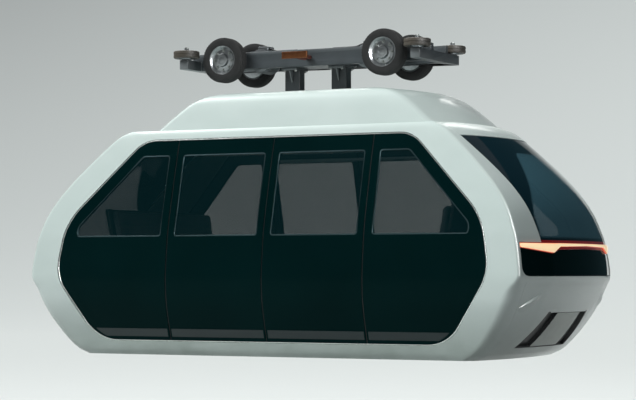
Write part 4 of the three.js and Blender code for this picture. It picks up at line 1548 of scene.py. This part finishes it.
def ceiling():
    """The ceiling with its cambered sides, two light strips and two grab rails."""
    lining = plan_sheet(1.785, 0.075, 60, 20, lambda x, y: -0.02 * max(0.0, abs(y) / 0.67 - 0.6))
    piece("ceiling_lining", face_inwards(lining), LINING, wall=-0.006)
    strip_half, strip_low, strip_high = (1.05, 0.025), UNDERSIDE + 1.772, UNDERSIDE + 1.787
    # Half of a grab rail, from its foot in the ceiling: x, height
    bend = [(0.80, 1.775), (0.80, 1.70), (0.77, 1.66), (0.72, 1.645)]
    path = [(-x, h) for x, h in bend] + [(-0.6 + 0.2 * k, 1.645) for k in range(7)] + bend[::-1]
    strips, rails = [], []
    for _, side in SIDES:
        y = side * 0.42
        low = (-strip_half[0], y - strip_half[1], strip_low)
        high = (strip_half[0], y + strip_half[1], strip_high)
        strips.append(block(low, high, 0.004, 3))
        rails.append(tube([(x, side * 0.60, UNDERSIDE + h) for x, h in path], 0.015, 12))
    piece("ceiling_light_strips", joined(strips), CABIN_LIGHT)
    piece("grab_rails", joined(rails), ALUMINIUM)


def floors():
    """Everything level or low in the cabin, and the ceiling over it."""
    underfloor()
    cover = face_inwards(plan_sheet(FLOOR_TOP, 0.045, 60, 20))
    piece("floor_covering", cover, VINYL, wall=0.006)
    for end_name, end in ENDS:
        end_trim(end_name, end)
    skirting()
    ceiling()


# Running gear and hanger

def tyres():
    """Road tyres with three grooves and shoulder ribs, and cross lugs on the shoulders."""
    r, half = TYRE_RADIUS, TYRE_HALF
    rim = 0.1225
    wall = [
        (rim, -half + 0.007), (rim + 0.004, -half + 0.002), (rim + 0.012, -half), (rim + 0.030, -half),
        (r - 0.030, -half + 0.0005), (r - 0.014, -half + 0.003), (r - 0.004, -half + 0.011),
        (r - 0.001, -half + 0.018),
    ]
    groove = ((-0.0045, 0.0), (-0.0030, 0.007), (0.0030, 0.007), (0.0045, 0.0))
    tread = [(r - depth, middle + offset) for middle in (-0.026, 0.0, 0.026) for offset, depth in groove]
    profile = wall + tread + [(radius, -level) for radius, level in reversed(wall)]
    lugs = 48
    for end_name, end in ENDS:
        for side_name, sign in SIDES:
            centre = (end * AXLE_X, sign * TYRE_Y, AXLE_Z)
            parts = [turned(profile, (0, 1, 0), centre, 96)]
            for k in range(lugs):
                spin = Matrix.Rotation(math.tau * k / lugs, 3, "Y")
                for shoulder in (0.012 - half, half - 0.012):
                    low = (-0.004, shoulder - 0.006, r - 0.016)
                    lug = block(low, (0.004, shoulder + 0.006, r - 0.0045), 0.001, 1)
                    bmesh.ops.rotate(lug, verts=lug.verts, cent=(0, 0, 0), matrix=spin)
                    bmesh.ops.translate(lug, verts=lug.verts, vec=centre)
                    parts.append(lug)
            piece(
                f"tyre_{end_name}_{side_name}_tread", joined(parts), TYRE, body=f"wheelset_{end_name}",
                stands_for=[f"tyre_{end_name}_{side_name}"], angle=30,
            )


def wheelsets():
    """Machined axles with dished wheels, hub caps and wheel nuts."""
    y_axis = (0, 1, 0)
    shaft = [(0.0, -TYRE_Y), (0.032, -TYRE_Y), (0.032, -0.2), (0.0315, -0.19), (0.0315, 0.19), (0.032, 0.2)]
    shaft += [(0.032, TYRE_Y), (0.0, TYRE_Y)]
    for end_name, end in ENDS:
        centre = (end * AXLE_X, 0, AXLE_Z)
        parts, nuts = [], []
        for _, sign in SIDES:
            outer = sign * (TYRE_Y + TYRE_HALF - 0.006)
            inner = sign * (TYRE_Y - TYRE_HALF + 0.006)
            face = sign * (TYRE_Y + TYRE_HALF - 0.030)
            wheel = [
                (0.030, inner), (0.100, inner), (0.110, inner + sign * 0.004), (0.118, inner),
                (0.122, inner), (0.122, outer), (0.117, outer), (0.110, outer - sign * 0.006),
                (0.100, face + sign * 0.004), (0.094, face), (0.066, face + sign * 0.002),
                (0.056, face + sign * 0.008), (0.052, face + sign * 0.020), (0.050, outer + sign * 0.008),
                (0.046, outer + sign * 0.010), (0.030, outer + sign * 0.010),
            ]
            cap = [
                (0.0, outer + sign * 0.0095), (0.020, outer + sign * 0.0095), (0.031, outer + sign * 0.006),
                (0.031, outer - sign * 0.01), (0.0, outer - sign * 0.01),
            ]
            parts += [turned(wheel, y_axis, centre, 56), turned(cap, y_axis, centre, 40)]
            nuts.append(bolts(circle((centre[0], face, AXLE_Z), 0.080, 8), (0, sign, 0), 0.009, 0.010))
        parts.append(turned(shaft, y_axis, centre, 40))
        body = f"wheelset_{end_name}"
        piece(
            f"{body}_machined", joined(parts), MACHINED, body=body, stands_for=[body]
        )
        piece(f"{body}_nuts", joined(nuts), ZINC, body=body)


def guide_wheels():
    """Flat side wheels: a polyurethane tyre on an aluminium hub, with a capped bearing."""
    low, high = GUIDE_LOW, GUIDE_HIGH
    radius = (high.x - low.x) / 2
    centre_x, centre_y = (high.x + low.x) / 2, (high.y + low.y) / 2
    bottom, top = low.z + 0.010, high.z - 0.006
    tread = [
        (0.084, bottom + 0.003), (0.088, bottom), (radius - 0.009, bottom), (radius - 0.003, bottom + 0.003),
        (radius, bottom + 0.009), (radius, bottom + 0.027), (radius - 0.003, bottom + 0.029),
        (radius - 0.003, top - 0.029), (radius, top - 0.027), (radius, top - 0.009),
        (radius - 0.003, top - 0.003), (radius - 0.009, top), (0.088, top), (0.084, top - 0.003),
    ]
    hub = [
        (0.019, low.z), (0.044, low.z), (0.046, low.z + 0.002), (0.046, bottom + 0.004),
        (0.050, bottom + 0.010), (0.074, bottom + 0.010), (0.080, bottom + 0.002),
        (0.0835, bottom + 0.002), (0.0835, top - 0.002), (0.080, top - 0.002), (0.074, top - 0.010),
        (0.050, top - 0.010), (0.046, top - 0.003), (0.046, high.z - 0.002), (0.044, high.z),
        (0.019, high.z),
    ]
    z_axis = (0, 0, 1)
    for end_name, end in ENDS:
        for side_name, side in SIDES:
            body = f"guide_wheel_{end_name}_{side_name}"
            x, y = end * centre_x, side * centre_y
            tyre = turned(tread, z_axis, (x, y, 0), 64)
            piece(f"{body}_tread", tyre, URETHANE, body=body, stands_for=[body])
            piece(f"{body}_hub", turned(hub, z_axis, (x, y, 0), 56), CASTING, body=body)
            heads = bolts(circle((x, y, top - 0.010), 0.062, 6, flat=True), z_axis, 0.006, 0.006)
            piece(f"{body}_bolts", heads, ZINC, body=body)


def weld(start, end, radius=0.004):
    """A rippled fillet bead along a straight joint."""
    start, end = Vector(start), Vector(end)
    steps = max(6, int((end - start).length / 0.006))
    bm = tube([start.lerp(end, k / steps) for k in range(steps + 1)], radius, 6)
    for vert in bm.verts:
        share = (vert.co - start).dot(end - start) / (end - start).length_squared
        nearest = start.lerp(end, share)
        ripple = 1 + 0.12 * math.sin(share * steps * math.pi)
        vert.co = nearest + (vert.co - nearest) * ripple
    return bm


def bogie_frame():
    """The welded box frame with its weld beads, bearing caps and bolts."""
    half = 0.165  # outer face of a side beam, from the middle plane
    beam_top, crossbeam_top = 0.260, 0.200
    piece(
        "bogie_frame_plates", dressed_copy("bogie_frame", 0.004), STEEL, stands_for=["bogie_frame"],
    )
    beads, pins = [], []
    cap_heads = {1: [], -1: []}
    for _, end in ENDS:
        for _, side in SIDES:
            x, y, top = end * 1.040, side * half, crossbeam_top + 0.0005
            beads.append(weld((x, y, 0.121), (x, y, crossbeam_top - 0.001)))
            beads.append(weld((x, side * 0.115, top), (x, y, top)))
            x = end * 0.300
            beads.append(weld((x, side * 0.1155, 0.121), (x, side * 0.1155, beam_top - 0.001)))
            cap = [
                (0.034, y), (0.060, y), (0.060, y + side * 0.010), (0.056, y + side * 0.014),
                (0.034, y + side * 0.014),
            ]
            beads.append(turned(cap, (0, 1, 0), (end * AXLE_X, 0, AXLE_Z), 40))
            cap_heads[side] += circle((end * AXLE_X, y + side * 0.012, AXLE_Z), 0.050, 4, start=0.5)
            pins.append(Vector((end * 1.080, side * 0.340, 0.299)))
    piece("bogie_frame_welds", joined(beads), STEEL)
    hanger_heads = [Vector((x, y, beam_top)) for x in (-0.25, -0.12, 0.12, 0.25) for y in (-0.08, 0.08)]
    heads = [bolts(cap_heads[side], (0, side, 0), 0.007, 0.007) for _, side in SIDES]
    heads += [bolts(pins, (0, 0, 1), 0.014, 0.008), bolts(hanger_heads, (0, 0, 1), 0.010, 0.008)]
    piece("bogie_frame_bolts", joined(heads), ZINC)


def drives():
    """Axle motors with cooling fins, a terminal box and a lead that runs along the beam."""
    box_top = AXLE_Z + 0.125
    for end_name, end in ENDS:
        node = f"drive_unit_{end_name}"
        piece(f"{node}_casting", dressed_copy(node, 0.003), CASTING, stands_for=[node])
        x = end * 0.500
        fins = []
        for k in range(11):
            y = -0.075 + 0.015 * k
            ring = [(0.090, y - 0.002), (0.1035, y - 0.0015), (0.1035, y + 0.0015), (0.090, y + 0.002)]
            fins.append(turned(ring, (0, 1, 0), (x, 0, AXLE_Z), 44))
        fins.append(block((x - 0.05, -0.055, AXLE_Z + 0.085), (x + 0.05, 0.055, box_top), 0.005, 3))
        piece(f"{node}_fins", joined(fins), CASTING)
        lid = [Vector((x + dx, dy, box_top)) for dx in (-0.038, 0.038) for dy in (-0.043, 0.043)]
        piece(f"{node}_lid_bolts", bolts(lid, (0, 0, 1), 0.005, 0.004), ZINC)
        # From the box towards the middle of the beam: distance, y, height over the axle
        route = [(0.045, 0.03, 0.105), (0.075, 0.03, 0.100), (0.105, 0.035, 0.086), (0.135, 0.045, 0.0795)]
        route += [(0.17 + 0.04 * k, 0.050, 0.0785) for k in range(5)]
        lead = tube([(x - end * away, y, AXLE_Z + up) for away, y, up in route], 0.008, 12)
        piece(f"{node}_lead", lead, CABLE)


def hanger():
    """Hanger posts with gussets, flange bolts, and a rubber gaiter where each goes into the roof."""
    piece(
        "hanger_weldment", dressed_copy("hanger", 0.004), HANGER_STEEL, stands_for=["hanger"],
    )
    post_x, half_length, half_across = 0.220, 0.070, 0.045
    flange = 0.098
    roof_z = UNDERSIDE + 2.154
    # Gaiter: distance outside the post, height over the roof
    folds = [
        (0.0005, 0.034), (0.006, 0.034), (0.010, 0.028), (0.006, 0.022), (0.012, 0.016), (0.008, 0.010),
        (0.022, 0.004), (0.026, -0.008), (0.0005, -0.008),
    ]
    heads, gaiters, gussets = [], [], []
    for _, end in ENDS:
        x = end * post_x
        heads += [Vector((x + dx, y, flange)) for dx in (-0.052, 0.052) for y in (-0.085, 0.085)]
        corners = [
            (x + a * half_length, b * half_across, 0.006) for a, b in ((-1, -1), (1, -1), (1, 1), (-1, 1))
        ]
        outline = rounded(corners, 4)
        gaiters.append(moulding(outline, folds, lambda u, v, rise: Vector((u, v, roof_z + rise))))
        for _, side in SIDES[::-1]:
            plate = block((x - 0.005, side * half_across, 0.0), (x + 0.005, side * 0.095, flange), 0.0)
            for vert in plate.verts:
                if abs(vert.co.y) > 0.06 and vert.co.z < 0.05:
                    vert.co.y = side * (half_across + 0.006)
            gussets.append(plate)
    piece("hanger_gussets", joined(gussets), HANGER_STEEL, edge=0.0015)
    piece("hanger_gaiters", joined(gaiters), SEAL)
    piece("hanger_bolts", bolts(heads, (0, 0, -1), 0.010, 0.010), ZINC)


def collectors():
    """Current collectors: an insulated arm with a spring, and a worn shoe."""
    for side_name, side in SIDES:
        low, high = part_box(f"collector_{side_name}")
        face = max(abs(low.y), abs(high.y))

        def bar(half_length, near, far, bottom, top, edge, segments):
            return block((-half_length, side * near, bottom), (half_length, side * far, top), edge, segments)

        arm = bar(0.028, 0.166, face - 0.030, 0.176, 0.204, 0.004, 3)
        carrier = bar(0.100, face - 0.032, face - 0.019, 0.168, 0.212, 0.003, 2)
        shoe = bar(0.118, face - 0.020, face - 0.0005, 0.161, 0.219, 0.004, 3)
        bellows = []
        for k in range(7):
            y = side * (0.235 + 0.016 * k)
            fold = [(0.010, y - 0.006), (0.030, y), (0.010, y + 0.006)]
            bellows.append(turned(fold, (0, 1, 0), (0, 0, AXLE_Z), 28))
        node = f"collector_{side_name}"
        piece(
            f"{node}_arm", joined([arm, carrier] + bellows), INSULATOR, stands_for=[node],
        )
        piece(f"{node}_shoe", shoe, SHOE)
        spots = [Vector((x, side * (face - 0.034), 0.19)) for x in (-0.075, 0.075)]
        piece(f"{node}_bolts", bolts(spots, (0, -side, 0), 0.006, 0.006), ZINC)


seats()
floors()
tyres()
wheelsets()
guide_wheels()
bogie_frame()
drives()
hanger()
collectors()


# Studio

def soft_edges(data):
    """Fades a panel light towards its edges, so that it leaves no hard shape in the glass."""
    data.use_nodes = True
    tree = data.node_tree
    spot = add(tree, "ShaderNodeNewGeometry").outputs["Parametric"]
    across = add(tree, "ShaderNodeSeparateXYZ", {"Vector": spot})
    fades = []
    for axis in ("X", "Y"):
        centred = add(tree, "ShaderNodeMath", {0: across.outputs[axis], 1: 0.5}, operation="SUBTRACT")
        far = add(tree, "ShaderNodeMath", {0: centred.outputs["Value"]}, operation="ABSOLUTE")
        ends = {"From Min": 0.0, "From Max": 0.5, "To Min": 1.0, "To Max": 0.0}
        fade = add(
            tree, "ShaderNodeMapRange", {"Value": far.outputs["Value"], **ends},
            interpolation_type="SMOOTHSTEP",
        )
        fades.append(fade.outputs["Result"])
    both = add(tree, "ShaderNodeMath", {0: fades[0], 1: fades[1]}, operation="MULTIPLY")
    glow = next(node for node in tree.nodes if node.type == "EMISSION")
    tree.links.new(both.outputs["Value"], glow.inputs["Strength"])


def stage_piece(name, bm, material, unseen):
    """A studio surface, left out of the part, that some kinds of ray don't see."""
    mesh = bpy.data.meshes.new(name)
    bm.to_mesh(mesh)
    bm.free()
    mesh.materials.append(material)
    made = bpy.data.objects.new(name, mesh)
    for kind in unseen:
        setattr(made, f"visible_{kind}", False)
    bpy.context.scene.collection.objects.link(made)
    made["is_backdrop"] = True


def studio_floor(foot):
    """A pale floor that rises into a far wall."""
    reach_out, wall_top, bend = 46.0, 26.0, 14.0
    profile = [(0.0, 0.0), (reach_out - bend, 0.0)]
    for k in range(1, 13):
        turn = math.pi / 2 * k / 12
        profile.append((reach_out - bend + bend * math.sin(turn), bend * (1 - math.cos(turn))))
    profile.append((reach_out, wall_top))
    bm = bmesh.new()
    verts = [bm.verts.new((radius, 0, foot + level)) for radius, level in profile]
    for a, b in zip(verts, verts[1:]):
        bm.edges.new((a, b))
    line = bm.verts[:] + bm.edges[:]
    bmesh.ops.spin(
        bm, geom=line, axis=(0, 0, 1), cent=(0, 0, 0), angle=math.tau, steps=64, use_merge=True
    )
    bmesh.ops.remove_doubles(bm, verts=bm.verts, dist=1e-4)
    for face in bm.faces:
        face.smooth = True
        if face.normal.dot(Vector((0, 0, 4)) - face.calc_center_median()) < 0:
            face.normal_flip()
    made, tree, shader = finish("pale_studio_floor", "d6d9d8", 0.9, 0.0, **{"Specular IOR Level": 0.0})
    # Paler below and greyer high up, so that gloss pieces do not mirror a bright far wall
    place = add(tree, "ShaderNodeTexCoord").outputs["Object"]
    level = add(tree, "ShaderNodeSeparateXYZ", {"Vector": place}).outputs["Z"]
    rise = add(
        tree, "ShaderNodeMapRange", {"Value": level, "From Min": 6.0, "From Max": 18.0},
        interpolation_type="SMOOTHSTEP",
    )
    vary(tree, shader, "Base Color", rise.outputs["Result"], "dadddc", "8c9191")
    stage_piece("studio_floor", bm, made, ("shadow", "diffuse"))


def reflection_flag(foot):
    """A dark curved screen off the rear right, seen only in gloss, so that the lamp panel stays black."""
    distance, height = 22, 21
    columns, rows = 32, 4

    def at(column, row):
        turn = math.radians(176 + 98 * column / columns)
        return Vector((distance * math.cos(turn), distance * math.sin(turn), foot + height * row / rows))

    cloth = finish("dark_flag_cloth", "35484e", 0.95, 0.0, **{"Specular IOR Level": 0.0})[0]
    unseen = ("camera", "diffuse", "shadow", "transmission")
    stage_piece("reflection_flag", sheet(columns, rows, at), cloth, unseen)


def suns():
    """A broad key on the left side and a gentle fill on the right."""
    # name, direction it comes from, strength, width in degrees, colour, whether gloss mirrors it
    settings = (
        ("key_left", (0.45, 0.60, 0.66), 3.0, 30, (0.96, 1.0, 0.99), False),
        ("fill_right", (0.42, -0.78, 0.46), 1.5, 40, (1.0, 0.99, 0.97), True),
    )
    for name, place, strength, wide, tint, mirrored in settings:
        data = bpy.data.lights.new(name, "SUN")
        data.energy = strength
        data.angle = math.radians(wide)
        data.color = tint
        lamp = bpy.data.objects.new(name, data)
        lamp.visible_glossy = mirrored
        bpy.context.scene.collection.objects.link(lamp)
        lamp.rotation_euler = (-Vector(place)).to_track_quat("-Z", "Y").to_euler()


def panels():
    """An even panel overhead, and two soft ones that only gloss mirrors."""
    low = Vector((0, 0, UNDERSIDE))
    # name, place over the underside, size, power, point it faces, kind of ray that doesn't see it
    settings = (
        ("overhead", (0, 0, 11.0), (12.0, 12.0), 420, low, "glossy"),
        ("key_panel", (7.6, 1.5, 10.5), (7.0, 7.0), 2200, low, "diffuse"),
        ("edge_strip", (-8.2, 3.9, 4.8), (2.4, 12.0), 5000, Vector((-1.9, 0.8, UNDERSIDE + 1.2)), "diffuse"),
    )
    for name, place, size, power, target, unseen in settings:
        data = bpy.data.lights.new(name, "AREA")
        data.shape = "RECTANGLE"
        data.size, data.size_y = size
        data.energy = power
        panel = bpy.data.objects.new(name, data)
        panel.visible_camera = False
        setattr(panel, f"visible_{unseen}", False)
        if unseen == "diffuse":
            soft_edges(data)
        bpy.context.scene.collection.objects.link(panel)
        panel.location = Vector(place) + low
        panel.rotation_euler = (target - panel.location).to_track_quat("-Z", "Y").to_euler()


def studio():
    """Floor and far wall, lights, and the pale surroundings that fill the shade."""
    foot = UNDERSIDE - 0.75
    studio_floor(foot)
    reflection_flag(foot)
    suns()
    panels()
    world = bpy.data.worlds.new("studio")
    bpy.context.scene.world = world
    world.use_nodes = True
    background = world.node_tree.nodes["Background"]
    background.inputs["Color"].default_value = (0.95, 0.98, 1.0, 1.0)
    background.inputs["Strength"].default_value = 0.2


def camera():
    """The photograph's view: level with the cabin's lower half, from behind its left side."""
    azimuth = math.radians(208)
    distance = 18.0
    eye_height, aim_height = UNDERSIDE + 0.68, UNDERSIDE + 1.28
    data = bpy.data.cameras.new("view")
    data.lens = 122
    data.sensor_width = 36
    made = bpy.data.objects.new("view", data)
    bpy.context.scene.collection.objects.link(made)
    made.location = (math.sin(azimuth) * distance, -math.cos(azimuth) * distance, eye_height)
    aim = Vector((0, 0, aim_height)) - made.location
    made.rotation_euler = aim.to_track_quat("-Z", "Y").to_euler()
    bpy.context.scene.camera = made


studio()
camera()
bpy.context.scene.view_settings.view_transform = "Standard"

boxes = {"cad": cad_box, "visual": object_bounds()}
{key: [list(corner) for corner in box] for key, box in boxes.items()}
